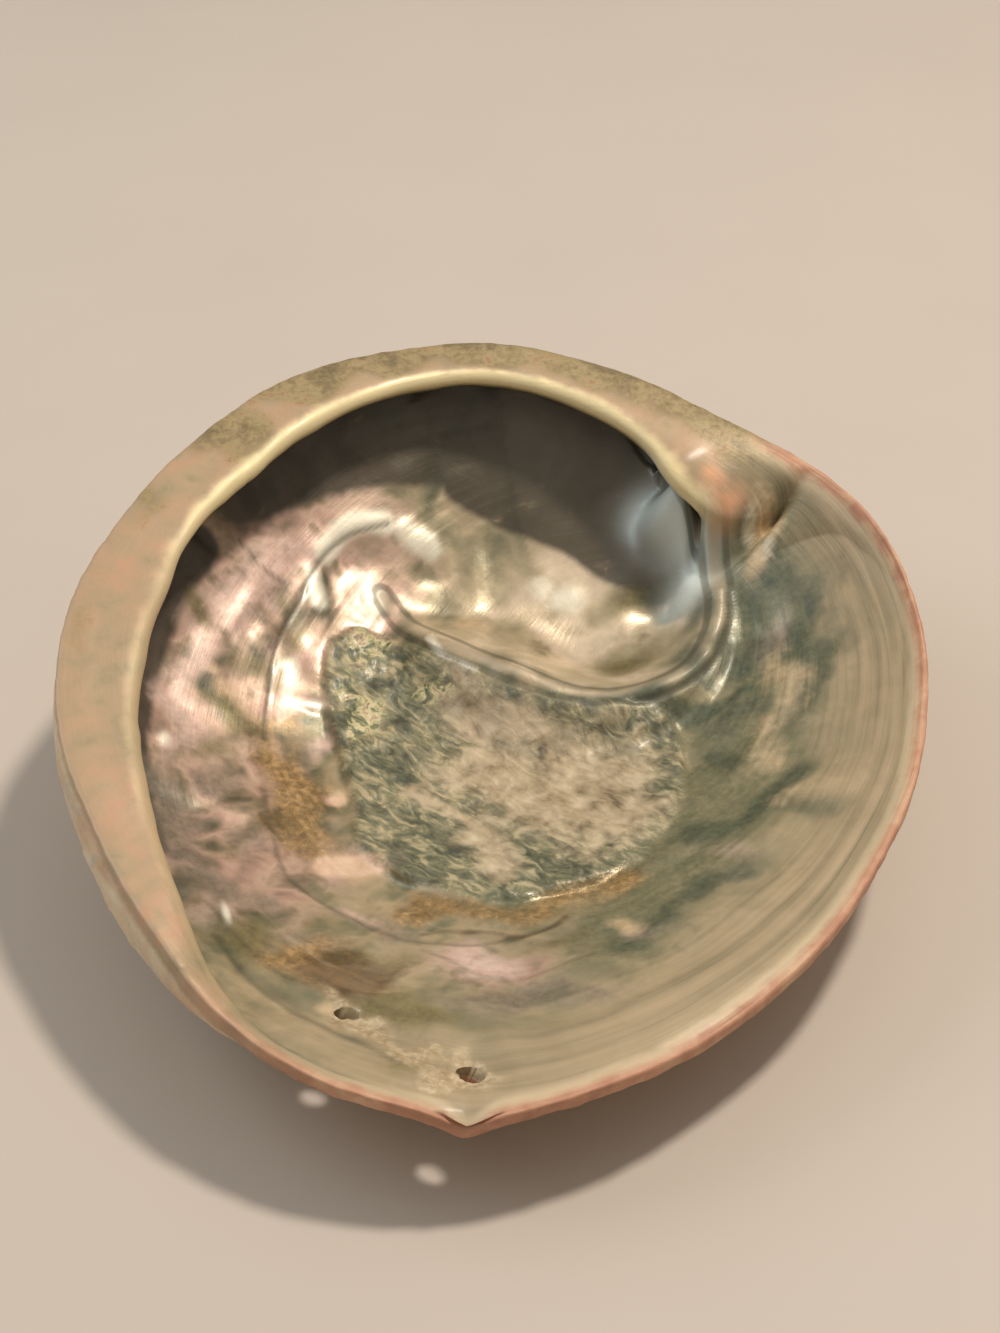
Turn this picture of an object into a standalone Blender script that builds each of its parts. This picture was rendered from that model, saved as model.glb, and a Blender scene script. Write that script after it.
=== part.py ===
# Red abalone shell, lying on its back with the opening up.
# The driving dimensions are in millimetres and degrees, and the mesh is made in metres.
# The shell is drawn in its own frame: the rim lies in the plane at height 0, the bowl
# hangs below it, angle 0 is to the right and angle 90 points to the spire end.

import math

import bmesh
import bpy
import numpy as np
from mathutils import Matrix, Vector

metresPerMm = 0.001

# Driving dimensions

# Outline of the rim, as angle and radius about the middle of the bowl
middle = (-1.0, 36.0)
rimRadii = [
    (0, 86.5), (15, 91.3), (30, 97.0), (45, 99.6), (60, 98.8), (75, 103.4), (90, 106.2), (105, 104.1),
    (120, 99.0), (135, 92.9), (150, 88.4), (165, 86.4), (180, 85.0), (195, 84.2), (210, 83.6), (225, 86.0),
    (240, 90.6), (255, 96.4), (267.5, 98.6), (285, 93.1), (300, 87.6), (315, 84.5), (330, 82.8), (345, 83.9),
]

# Width of the flat shelf inside the rim, which fades to a plain lip on the other side
shelfWidths = [
    (20, 2.8), (41, 2.9), (44, 5.5), (47, 15.0), (51, 20.0), (57, 21.0), (68, 16.2), (88, 12.6), (97, 12.2),
    (112, 14.8), (130, 16.8), (147, 15.4), (165, 17.4), (180, 16.4), (195, 14.4), (209, 12.0), (220, 10.4),
    (228, 8.8), (236, 7.4), (245, 6.0), (254, 4.6), (262, 3.4), (275, 2.6), (350, 2.8),
]
# The shelf begins where the width passes the first value, and is full at the second
shelfOnset = (3.4, 9.4)
shelfEnd = 45.0

# How far the shelf's inner edge falls below the rim: its end slopes down into the ridge inside
shelfFalls = [
    (10, 0.0), (30, 1.5), (38, 6.0), (44, 10.5), (49, 10.0), (54, 6.5), (60, 3.2), (68, 1.2), (78, 0.2), (90, 0.0),
    (200, 0.0), (222, 0.6), (240, 1.2), (262, 0.5), (290, 0.0),
]

# The shelf's points from its outer edge over the inner edge and back under it, each as a share of
# the width, a length added to it, a height, and the share of the fall
shelfProfile = [
    (0.0, 0.7, 0.4, 0.0), (0.22, 0.4, 0.5, 0.08), (0.55, 0.0, 0.3, 0.4), (1.0, -1.7, -0.05, 0.85),
    (1.0, 0.0, -2.2, 1.0), (1.0, -2.0, -4.7, 1.0),
]
underShare = 0.35
cornerShare = 0.55
cornerRise = 1.1

# The plain lip: the width and height of its edge, and the shares of its slope down to the inner wall
lipStart = (0.25, 0.3)
lipCrest = (1.0, 0.5)
lipShares = (0.18, 0.36, 0.54, 0.7, 0.86)

# Where the inner wall takes over from the shelf or lip, as a length down the wall.
# It is long at the end of the shelf, where the shelf runs down solid instead of overhanging.
wallStarts = [
    (0, 4.2), (30, 4.4), (37, 9.0), (42, 22.0), (47, 32.0), (51, 32.0), (55, 20.0), (59, 10.2), (120, 10.2),
    (195, 10.2), (209, 9.6), (220, 8.8), (228, 8.0), (236, 7.2), (245, 6.4), (254, 5.4), (262, 4.6), (300, 4.2),
]
solidStart = 30.0
overhungStart = 14.0

# The bowl: its depth, and how upright its wall stands at each angle, from 0 gentle to 1 steep
bowlDepth = 39.0
wallSteepness = [
    (0, 0.30), (30, 0.65), (60, 0.85), (90, 0.62), (120, 0.72), (155, 0.95), (195, 1.0), (222, 0.62), (245, 0.14),
    (268, 0.0), (330, 0.06),
]
wallBulge = [
    (0, 0.0), (90, 0.4), (150, 0.6), (185, 1.0), (210, 3.4), (226, 6.4), (240, 8.6), (252, 5.0), (264, 0.8),
    (300, 0.0),
]
roundness = (2.2, 1.4)
squareness = (1.0, 0.9)
floorThickness = 4.4
rimThickness = 2.1

# How much the wall flares out near the rim, and how far in the flare is strongest
lipFlares = [
    (0, 4.6), (25, 5.4), (42, 5.6), (54, 3.0), (66, 0.6), (90, 0.4), (120, 0.8), (200, 0.0), (222, 1.2), (245, 2.8),
    (268, 3.2), (330, 3.8),
]
flareReach = 0.14
lipDroop = 2.0
rimSpan = 8
wallSpacing = 1.6

# The long and the short waves along the rim's height
rimWaves = (0.5, 0.25)

# How the shell lies: the notch end is low and the shelf side is high.
# The back is worn flat under the point of balance, where the bottom is level.
restTilt = 10.0
restRoll = 4.5
bottomLean = (-4.5, 12.2)
restPlace = (-5.0, 48.0)
restWear = 0.55
wornRadius = 12.0
restCutterSize = 300.0

# The notch at the front, and the row of breathing holes that ends there
notchAngle = 267.5
notchDepth = 3.0
notchHalfAngle = 2.6
notchShape = 1.6
spoutLength = 0.7
spoutHalfAngle = 3.4
holeRow = [
    (267.5, 0.90), (250.5, 0.825), (233, 0.85), (216, 0.865), (200, 0.875), (184, 0.875), (169, 0.87), (155, 0.86),
    (142, 0.845), (130, 0.83), (119, 0.81), (109, 0.79), (100, 0.765), (92, 0.74), (85, 0.715), (79, 0.69),
]
openHoles = 2
holeLength = 5.2
holeWidth = 3.4
holeLean = (0.3, -0.12, 0.0)
holeTaper = (0.62, 0.38)
cutterLength = 22.0
lumpRadius = 5.8
lumpHeight = 3.2
lumpShrink = 0.93

# The shallow channel that the holes sit in, on the inside
channelDepth = 1.1
channelWidth = 4.5

# The spire: its tip on the outside, and the winding seam round it
spireTip = (38.0, 84.0)
spireHeight = 5.4
spireRadius = 15.0
seamStartRadius = 27.0
seamStartAngle = 48.0
seamShrinkPerTurn = 3.4
seamTurns = 1.9
seamDepth = 1.5
seamWidth = 2.2

# The ridge inside, which carries the shelf's edge round the spire bowl.
# Each point has its place to the right and away, its height, and the slope down into the bowl.
ridgePath = [
    (43.0, 108.0, -7.0, 2.2), (47.5, 101.0, -13.0, 2.0), (50.5, 90.0, -18.5, 1.6), (49.5, 76.0, -21.5, 1.2),
    (43.5, 64.5, -23.5, 0.9), (33.0, 58.5, -25.0, 0.8), (21.0, 57.5, -26.2, 0.7), (10.2, 61.5, -27.5, 0.6),
    (-3.0, 70.0, -30.0, 0.45), (-14.0, 80.0, -34.0, 0.35), (-24.0, 92.0, -40.0, 0.3),
]
ridgeOuterSlope = 0.75
ridgeRounding = 3.2
ridgeBlend = 2.0
spirePit = (38.5, 86.0)
pitDepth = 4.0
pitRadius = 6.5

# The muscle scar on the floor: an uneven raised patch
scarOutline = [
    (-35, 70), (-34, 50), (-30, 35), (-26, 18), (-14, 6), (4, 3), (20, 9), (34, 18), (41, 34), (38, 50), (26, 54),
    (8, 57), (-6, 66), (-22, 76),
]
scarHeight = 1.3
scarRoughness = 0.35
scarEdgeWidth = 4.0

# Growth ridges on the outside, and the swells of the pearl layer inside
growthRidgeHeight = 0.75
growthRidgeCount = 17
growthSpread = 0.8
growthSway = (0.7, 0.35)
foldHeight = 0.5
foldCount = 9
swellHeight = 0.9

# Shares of the wall over which the relief starts below the rim, inside and outside
innerFade = 0.12
outerFade = 0.05

# Mesh density
angleStep = 2.6
outerRings = 30
topSteps = 2
innerRings = 38
wallSamples = 220
triangleBudget = 9300


# Curves

def smoothLoop(points, angles):
    """A smooth closed curve through (angle, value) pairs, read at the given angles in degrees."""
    knots = np.array([point[0] for point in points], float)
    values = np.array([point[1] for point in points], float)
    knots = np.concatenate([knots[-2:] - 360, knots, knots[:3] + 360])
    values = np.concatenate([values[-2:], values, values[:3]])
    slopes = np.gradient(values, knots)
    turned = (np.asarray(angles, float) - knots[1]) % 360 + knots[1]
    left = np.clip(np.searchsorted(knots, turned, side="right") - 1, 0, len(knots) - 2)
    gap = knots[left + 1] - knots[left]
    step = (turned - knots[left]) / gap
    rise = values[left + 1] - values[left]
    startSlope = slopes[left] * gap - rise
    endSlope = rise - slopes[left + 1] * gap
    return values[left] + rise * step + step * (1 - step) * ((1 - step) * startSlope + step * endSlope)


def smoothPath(points, stepsPerSpan):
    """A smooth open curve through the points."""
    points = np.array(points, float)
    padded = np.vstack([2 * points[0] - points[1], points, 2 * points[-1] - points[-2]])
    curve = []
    for index in range(len(points) - 1):
        before, start, end, after = padded[index:index + 4]
        for step in np.linspace(0, 1, stepsPerSpan, endpoint=False):
            curve.append(blendFour(before, start, end, after, step))
    curve.append(points[-1])
    return np.array(curve)


def blendFour(before, start, end, after, step):
    """A point between start and end on the curve that also heeds their neighbours."""
    bend = 2 * before - 5 * start + 4 * end - after
    turn = 3 * start - before - 3 * end + after
    return start + 0.5 * step * (end - before + step * (bend + step * turn))


def ease(value):
    """Runs from 0 to 1 with level ends."""
    value = np.clip(value, 0, 1)
    return value * value * (3 - 2 * value)


def nearestOnPath(right, away, path):
    """Distance to a plan path, its side (positive on the right of the path), and the path point met."""
    starts = path[:-1, :2]
    spans = path[1:, :2] - starts
    offsets = np.stack([right, away], -1)[..., None, :] - starts
    along = np.clip((offsets * spans).sum(-1) / (spans ** 2).sum(-1), 0, 1)
    gaps = offsets - along[..., None] * spans
    distances = np.hypot(gaps[..., 0], gaps[..., 1])
    nearest = distances.argmin(-1)[..., None]
    distance = np.take_along_axis(distances, nearest, -1)[..., 0]
    met = nearest[..., 0] + np.take_along_axis(along, nearest, -1)[..., 0]
    cross = spans[nearest[..., 0], 0] * np.take_along_axis(offsets[..., 1], nearest, -1)[..., 0]
    cross -= spans[nearest[..., 0], 1] * np.take_along_axis(offsets[..., 0], nearest, -1)[..., 0]
    return distance, -np.sign(cross), met


# The wall

def outerWall(angles, samples):
    """The plain outer surface, from the rim to the lowest point, as points for each angle."""
    fraction = 1 - np.linspace(0, 1, samples) ** wallSpacing
    steep = smoothLoop(wallSteepness, angles)[:, None]
    reach = fraction[None, :]
    besideNotch = ((angles - notchAngle + 180) % 360 - 180)[:, None]
    spout = spoutLength * np.exp(-(besideNotch / spoutHalfAngle) ** 2) * reach ** rimSpan
    radius = smoothLoop(rimRadii, angles)[:, None] + spout
    roundPower = roundness[0] + roundness[1] * steep
    squarePower = squareness[0] + squareness[1] * steep
    depth = bowlDepth * (1 - reach ** roundPower) ** (1 / squarePower)
    flare = smoothLoop(lipFlares, angles)[:, None]
    inset = (1 - reach) / flareReach
    depth = depth - flare * inset * np.exp(1 - inset)
    depth = depth + lipDroop * (1 - steep) * reach ** rimSpan
    sunk = np.clip(depth / bowlDepth, 0, 1) ** 0.7
    bulge = smoothLoop(wallBulge, angles)[:, None] * 4 * sunk * (1 - sunk)
    turn = np.radians(angles)[:, None]
    across = radius * reach + bulge
    right = across * np.cos(turn)
    away = across * np.sin(turn)
    lean = -math.tan(math.radians(bottomLean[0])) * right - math.tan(math.radians(bottomLean[1])) * away
    height = -depth + lean * (1 - reach ** 2) ** 2
    return np.stack([middle[0] + right, middle[1] + away, height], -1)


def inwardNormals(surface):
    """Directions that point into the bowl from the outer surface."""
    down = np.gradient(surface, axis=1)
    padded = np.concatenate([surface[-1:], surface, surface[:1]])
    sideways = padded[2:] - padded[:-2]
    normals = np.cross(sideways, down)
    normals[:, -1] = normals[:, -2].mean(0)
    return normals / np.linalg.norm(normals, axis=-1, keepdims=True)


def resample(curve, starts, fractions):
    """Reads each curve at fractions of the way from its start length to its end."""
    lengths = np.linalg.norm(np.diff(curve, axis=1), axis=-1)
    lengths = np.concatenate([np.zeros((len(curve), 1)), lengths.cumsum(1)], 1)
    result = np.empty((len(curve), len(fractions), 3))
    for index, (row, measured) in enumerate(zip(curve, lengths)):
        wanted = starts[index] + (measured[-1] - starts[index]) * fractions
        for axis in range(3):
            result[index, :, axis] = np.interp(wanted, measured, row[:, axis])
    return result


def rimHeightAt(angles):
    """Height of the rim: level, a little wavy, with the notch cut down into it."""
    offset = np.abs((np.asarray(angles) - notchAngle + 180) % 360 - 180)
    notch = -notchDepth * np.exp(-(offset / notchHalfAngle) ** notchShape)
    turn = np.radians(angles)
    longWave = np.sin(5 * turn + 0.6) * np.sin(2 * turn)
    return notch + rimWaves[0] * longWave + rimWaves[1] * np.sin(13 * turn)


def shelfPart(angles):
    """1 where the rim is a shelf and 0 where it is a plain lip."""
    return ease((smoothLoop(shelfWidths, angles) - shelfOnset[0]) / (shelfOnset[1] - shelfOnset[0]))


def topBand(angles, outerStart, innerStart, rimHeights):
    """The shelf or lip, from the outer edge over the top and back under to the inner wall."""
    turn = np.radians(angles)
    outward = np.stack([np.cos(turn), np.sin(turn), np.zeros(len(angles))], -1)
    upward = np.array([0.0, 0.0, 1.0])
    width = smoothLoop(shelfWidths, angles)
    rim = np.column_stack([outerStart[:, :2], rimHeights])
    fall = smoothLoop(shelfFalls, angles)

    def across(inset, height):
        inset = np.broadcast_to(inset, width.shape)[:, None]
        height = np.broadcast_to(height, width.shape)[:, None]
        return rim - outward * inset + upward * height

    shelf = [across(share * width + added, height - part * fall) for share, added, height, part in shelfProfile]
    nose, under = shelf[-2:]
    overhung = ease((solidStart - smoothLoop(wallStarts, angles)) / (solidStart - overhungStart))[:, None]
    under = under + (1 - overhung) * (nose + underShare * (innerStart - nose) - under)
    corner = under + cornerShare * (innerStart - under) + cornerRise * upward * overhung
    shelfPoints = np.stack([outerStart, *shelf[:-1], under, corner, innerStart], 1)
    lipTop = across(*lipCrest)
    inward = [lipTop + share * (innerStart - lipTop) for share in lipShares]
    lipPoints = np.stack([outerStart, across(*lipStart), lipTop, *inward, innerStart], 1)
    return lipPoints + (shelfPoints - lipPoints) * shelfPart(angles)[:, None, None]


def smoothRows(controls, steps):
    """Reads a smooth curve through each row of control points, leaving out both ends."""
    padded = np.concatenate(
        [2 * controls[:, :1] - controls[:, 1:2], controls, 2 * controls[:, -1:] - controls[:, -2:-1]], 1)
    rows = []
    for index in range(controls.shape[1] - 1):
        before, start, end, after = np.moveaxis(padded[:, index:index + 4], 1, 0)
        for step in np.linspace(0, 1, steps, endpoint=False):
            rows.append(blendFour(before, start, end, after, step))
    return np.stack(rows[1:], 1)


# Relief

def planAngle(right, away, centre):
    return np.degrees(np.arctan2(away - centre[1], right - centre[0])) % 360


def spiralSeam(right, away):
    """Depth of the winding seam round the spire."""
    distance = np.hypot(right - spireTip[0], away - spireTip[1])
    turned = (planAngle(right, away, spireTip) - seamStartAngle) % 360
    total = np.zeros_like(distance)
    for turn in range(3):
        back = turn + 1 - turned / 360
        radius = seamStartRadius * seamShrinkPerTurn ** (-back)
        here = np.exp(-((distance - radius) / (seamWidth * (0.35 + radius / seamStartRadius))) ** 2)
        total += here * ease((seamTurns - back) / 0.5) * ease(back / 0.1)
    return total


def growthPosition(right, away):
    """0 at the spire tip and 1 at the rim, along the shell's growth."""
    distance = np.hypot(right - spireTip[0], away - spireTip[1])
    direction = np.radians(planAngle(right, away, spireTip))
    steps = np.linspace(0, 2 * math.pi, 181)
    rim = smoothLoop(rimRadii, np.degrees(steps))
    rimRight = middle[0] + rim * np.cos(steps) - spireTip[0]
    rimAway = middle[1] + rim * np.sin(steps) - spireTip[1]
    rimDirection = np.unwrap(np.arctan2(rimAway, rimRight))
    wanted = (direction - rimDirection[0]) % (2 * math.pi) + rimDirection[0]
    return distance / np.interp(wanted, rimDirection, np.hypot(rimRight, rimAway))


def rowPoint(angle, fraction):
    """Plan point at a fraction of the way from the middle of the bowl to the rim."""
    reach = fraction * float(smoothLoop(rimRadii, [angle])[0])
    turn = math.radians(angle)
    return middle[0] + reach * math.cos(turn), middle[1] + reach * math.sin(turn)


def outerRelief(points):
    """How far the outer surface stands out from the plain wall."""
    right, away = points[..., 0], points[..., 1]
    grown = growthPosition(right, away)
    swing = np.radians(planAngle(right, away, spireTip))
    sway = growthSway[0] * np.sin(2 * swing) + growthSway[1] * np.sin(5 * swing + 1)
    phase = growthRidgeCount * math.pi * grown ** growthSpread + sway
    ridges = growthRidgeHeight * (0.5 + 0.5 * np.cos(2 * phase)) * (0.6 + 0.4 * np.sin(3 * swing + 4 * grown))
    folds = foldHeight * np.sin(foldCount * swing + 5 * grown) * ease((grown - 0.3) / 0.4)
    apart = np.hypot(right - spireTip[0], away - spireTip[1])
    spire = spireHeight * np.exp(-(apart / spireRadius) ** 2)
    relief = ridges * ease(grown / 0.25) + folds + spire - seamDepth * spiralSeam(right, away)
    for index, (angle, fraction) in enumerate(holeRow):
        lumpRight, lumpAway = rowPoint(angle, fraction)
        size = lumpShrink ** index
        gap = np.hypot(right - lumpRight, away - lumpAway) / (lumpRadius * size)
        relief = relief + lumpHeight * size * np.exp(-gap ** 2)
    worn = np.hypot(right - restPlace[0], away - restPlace[1])
    return relief * ease((worn - wornRadius) / wornRadius)


def scarMask(right, away):
    """1 inside the muscle scar and 0 outside, with a short slope between."""
    outline = np.array(scarOutline, float)
    outline = smoothPath(np.vstack([outline, outline[:1]]), 5)
    distance, _, _ = nearestOnPath(right, away, outline)
    inside = insideOutline(right, away, outline)
    return ease(0.5 + np.where(inside, distance, -distance) / scarEdgeWidth)


def insideOutline(right, away, outline):
    """Whether each point lies inside a closed plan outline."""
    crossings = np.zeros(np.shape(right), int)
    for start, end in zip(outline[:-1], outline[1:]):
        spans = (start[1] > away) != (end[1] > away)
        rise = end[1] - start[1]
        if rise != 0:
            meets = start[0] + (away - start[1]) * (end[0] - start[0]) / rise
            crossings += spans & (right < meets)
    return crossings % 2 == 1


def innerRelief(points):
    """How far the inner floor is lifted above the plain wall."""
    right, away, height = points[..., 0], points[..., 1], points[..., 2]
    path = smoothPath(ridgePath, 8)
    distance, side, met = nearestOnPath(right, away, path)
    steps = np.arange(len(path))
    slope = np.where(side > 0, np.interp(met, steps, path[:, 3]), ridgeOuterSlope)
    rounded = np.sqrt(distance ** 2 + ridgeRounding ** 2) - ridgeRounding
    target = np.interp(met, steps, path[:, 2]) - slope * rounded
    ridge = ridgeBlend * np.logaddexp(0, (target - height) / ridgeBlend)
    pit = -pitDepth * np.exp(-(np.hypot(right - spirePit[0], away - spirePit[1]) / pitRadius) ** 2)
    scar = scarMask(right, away)
    rough = scarRoughness * np.sin(0.55 * right + 0.9 * np.sin(0.31 * away)) * np.sin(0.47 * away + 1.3)
    swells = swellHeight * np.sin(0.085 * right + 0.05 * away + 1) * np.sin(0.075 * away - 0.06 * right)
    rowPath = smoothPath([rowPoint(angle, fraction) for angle, fraction in holeRow[:6]], 6)
    rowDistance, _, rowMet = nearestOnPath(right, away, rowPath)
    channel = -channelDepth * np.exp(-(rowDistance / channelWidth) ** 2) * ease((26 - rowMet) / 12)
    return ridge + pit + scar * (scarHeight + rough) + swells * (1 - scar) + channel


# The whole surface

def closedRows(angles, outerCount, topCount, innerCount):
    """Rows of points, one for each angle, from the outer pole over the rim to the inner pole."""
    outer = outerWall(angles, wallSamples)
    outer[..., 2] += rimHeightAt(angles)[:, None] * np.exp(-np.linspace(0, 14, wallSamples))[None, :]
    inward = inwardNormals(outer)
    depthWays = np.linspace(0, 1, outer.shape[1])[None, :, None]
    thickness = rimThickness + (floorThickness - rimThickness) * ease(depthWays / 0.5)
    inner = outer + inward * thickness
    inner = resample(inner, smoothLoop(wallStarts, angles), np.linspace(0, 1, innerCount) ** 0.95)
    fadeIn = ease(np.linspace(0, 1, innerCount) / innerFade)[None, :]
    inner[..., 2] += innerRelief(inner) * fadeIn
    top = smoothRows(topBand(angles, outer[:, 0], inner[:, 0], rimHeightAt(angles)), topCount)
    fractions = np.linspace(0, 1, outerCount)
    outer = resample(outer, np.zeros(len(angles)), fractions)
    normals = inwardNormals(outer)
    fadeOut = ease(fractions / outerFade)[None, :, None]
    outer = outer - normals * outerRelief(outer)[..., None] * fadeOut
    return np.concatenate([outer[:, ::-1], top, inner], 1)


def angleList():
    """Even angles, with closer ones at the notch and at the end of the shelf."""
    angles = np.arange(0, 360, angleStep)
    for centre, half in ((notchAngle, notchHalfAngle), (shelfEnd, angleStep)):
        near = centre + half * np.linspace(-1.5, 1.5, 7)
        keep = np.abs((angles - centre + 180) % 360 - 180) > 1.5 * half + 0.7
        angles = np.concatenate([angles[keep], near])
    return np.sort(angles)


def surfaceMesh(name, rows):
    """A closed mesh from rows of points whose first and last points are shared poles."""
    count, length = rows.shape[:2]
    body = rows[:, 1:-1].reshape(-1, 3)
    poles = np.array([rows[:, 0].mean(0), rows[:, -1].mean(0)])
    points = np.concatenate([body, poles]) * metresPerMm
    faces = []
    inside = length - 2
    for row in range(count):
        here = row * inside
        there = (row + 1) % count * inside
        for step in range(inside - 1):
            faces.append((here + step, there + step, there + step + 1, here + step + 1))
        faces.append((len(body), there, here))
        faces.append((here + inside - 1, there + inside - 1, len(body) + 1))
    mesh = bpy.data.meshes.new(name)
    mesh.from_pydata(points.tolist(), [], faces)
    mesh.shade_smooth()
    return mesh


def shellMaterial():
    material = bpy.data.materials.new("nacreShell")
    material.use_nodes = True
    shader = material.node_tree.nodes["Principled BSDF"]
    shader.inputs["Base Color"].default_value = (0.42, 0.36, 0.27, 1.0)
    shader.inputs["Roughness"].default_value = 0.32
    shader.inputs["Metallic"].default_value = 0.0
    return material


def clearScene():
    for item in list(bpy.data.objects):
        bpy.data.objects.remove(item)


def restRotation():
    """Turns the shell from its own frame to the way it lies."""
    tilt = math.tan(math.radians(restTilt))
    roll = math.tan(math.radians(restRoll))
    normal = Vector((roll, -tilt, 1)).normalized()
    right = (Vector((1, 0, 0)) - normal * normal.x).normalized()
    return Matrix((right, normal.cross(right), normal)).transposed().to_4x4()


def addObject(name, mesh, place):
    item = bpy.data.objects.new(name, mesh)
    bpy.context.scene.collection.objects.link(item)
    item.matrix_world = place
    return item


def addCutter(name, mesh, place):
    cutter = addObject(name, mesh, place)
    cutter.hide_render = True
    cutter.display_type = "WIRE"
    return cutter


def holeFrame(index):
    """The place of one breathing hole: its long side follows the row, and its depth leans from the wall's normal."""
    angle, fraction = holeRow[index]
    wall = outerWall(np.array([angle - 1, angle, angle + 1]), wallSamples)
    inward = inwardNormals(wall)[1]
    wall = wall[1]
    nearest = np.hypot(*(wall[:, :2] - rowPoint(angle, fraction)).T).argmin()
    upward = (Vector(inward[nearest]) + Vector(holeLean)).normalized()
    centre = Vector(wall[nearest])
    nextPoint = Vector((*rowPoint(*holeRow[index + 1]), centre.z))
    along = nextPoint - centre
    along = (along - upward * along.dot(upward)).normalized()
    turned = Matrix((along, upward.cross(along), upward)).transposed().to_4x4()
    size = Matrix.Diagonal((holeLength, holeWidth, cutterLength, 1.0))
    return Matrix.Scale(metresPerMm, 4) @ Matrix.Translation(centre) @ turned @ size


def plugMesh(name):
    """An oval plug, one unit long and wide, that narrows toward the inside of the shell."""
    plug = bmesh.new()
    bmesh.ops.create_cone(plug, cap_ends=True, segments=18, radius1=holeTaper[0], radius2=holeTaper[1], depth=1.0)
    mesh = bpy.data.meshes.new(name)
    plug.to_mesh(mesh)
    plug.free()
    return mesh


def blockMesh(name, size):
    block = bmesh.new()
    bmesh.ops.create_cube(block, size=size)
    mesh = bpy.data.meshes.new(name)
    block.to_mesh(mesh)
    block.free()
    return mesh


def shapedPoints(item):
    """The object's points in the world, with its modifiers."""
    bpy.context.view_layer.update()
    shaped = item.evaluated_get(bpy.context.evaluated_depsgraph_get())
    points = np.empty(len(shaped.data.vertices) * 3, np.float32)
    shaped.data.vertices.foreach_get("co", points)
    turned = np.array(shaped.matrix_world, float)
    return points.reshape(-1, 3) @ turned[:3, :3].T + turned[:3, 3]


def cutAway(item, cutter):
    cut = item.modifiers.new(cutter.name, "BOOLEAN")
    cut.operation = "DIFFERENCE"
    cut.solver = "EXACT"
    cut.object = cutter


def main():
    clearScene()
    lying = restRotation()
    rows = closedRows(angleList(), outerRings, topSteps, innerRings)
    shell = addObject("shell", surfaceMesh("shell", rows), lying)
    shell.data.materials.append(shellMaterial())

    thinned = shell.modifiers.new("thinned", "DECIMATE")
    thinned.ratio = triangleBudget / (2 * len(shell.data.polygons))

    lowest = shapedPoints(shell)[:, 2].min()
    blockSize = restCutterSize * metresPerMm
    blockPlace = Matrix.Translation((0, 0, lowest + restWear * metresPerMm - blockSize / 2))
    cutters = [addCutter("restCutter", blockMesh("restCutter", blockSize), blockPlace)]
    for index in range(openHoles):
        name = f"holeCutter{index + 1}"
        cutters.append(addCutter(name, plugMesh(name), lying @ holeFrame(index)))
    for cutter in cutters:
        cutAway(shell, cutter)

    points = shapedPoints(shell)
    lowCorner, highCorner = points.min(0), points.max(0)
    middlePoint = (lowCorner + highCorner) / 2
    shift = Matrix.Translation((-middlePoint[0], -middlePoint[1], -lowCorner[2]))
    for item in [shell, *cutters]:
        item.matrix_world = shift @ item.matrix_world


main()
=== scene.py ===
import math

import bmesh
import bpy
import numpy as np
from mathutils import Matrix, Vector, kdtree


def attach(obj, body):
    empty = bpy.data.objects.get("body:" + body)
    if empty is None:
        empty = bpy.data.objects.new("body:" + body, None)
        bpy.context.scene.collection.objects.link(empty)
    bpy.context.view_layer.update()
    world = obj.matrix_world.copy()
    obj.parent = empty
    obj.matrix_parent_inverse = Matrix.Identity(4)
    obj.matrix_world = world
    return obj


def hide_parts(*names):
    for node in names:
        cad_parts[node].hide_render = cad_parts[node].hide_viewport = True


# An abalone shell on its back. Lengths of the shell are in millimetres in its own frame:
# the rim lies level at height 0, the bowl hangs below, angle 90 points to the spire end.

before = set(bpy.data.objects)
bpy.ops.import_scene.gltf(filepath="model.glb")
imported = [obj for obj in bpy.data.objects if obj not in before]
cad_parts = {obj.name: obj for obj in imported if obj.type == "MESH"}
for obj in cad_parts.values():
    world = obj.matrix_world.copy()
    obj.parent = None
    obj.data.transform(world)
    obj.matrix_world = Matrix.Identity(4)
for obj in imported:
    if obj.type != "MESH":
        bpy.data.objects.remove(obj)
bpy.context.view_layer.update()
metresPerMm = 0.001

# Camera and studio

view = {
    "place": (-0.00029, -0.31811, 0.27334),  # metres
    "pitch": 53.5,  # degrees up from straight down
    "lens": 54.0,
    "sensor": 36,
    "nearest": 0.01,
}

studio = {
    "floorSize": 8.0,
    "floorColour": (198, 186, 174),
    "floorMottle": (0.06, 5),  # size in metres, and how much darker
    "floorRoughness": 0.6,
    "skyColour": (232, 226, 216),
    "skyStrength": 0.37,
}

lamps = {  # direction toward the lamp, distance, size, power, colour
    "mainLamp": ((0.36, 0.20, 1.0), 1.5, 0.17, 15.6, (255, 245, 232)),
    "softPanel": ((0.0, 0.05, 1.0), 2.2, 5.0, 17.0, (232, 226, 216)),
    "windowLight": ((-0.95, 0.25, 0.8), 1.3, 0.9, 5.0, (216, 230, 240)),
}


def tint(red, green, blue):  # screen colour, 0 to 255, to the numbers a shader takes
    channels = []
    for value in (red, green, blue):
        value = value / 255
        channels.append(value / 12.92 if value <= 0.04045 else ((value + 0.055) / 1.055) ** 2.4)
    return (*channels, 1.0)


def linkObject(name, data):
    item = bpy.data.objects.new(name, data)
    bpy.context.scene.collection.objects.link(item)
    return item


def makeCamera():
    lens = bpy.data.cameras.new("camera")
    lens.lens = view["lens"]
    lens.sensor_width = view["sensor"]
    lens.clip_start = view["nearest"]
    camera = linkObject("camera", lens)
    camera.location = view["place"]
    camera.rotation_euler = (math.radians(view["pitch"]), 0, 0)
    bpy.context.scene.camera = camera


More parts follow.
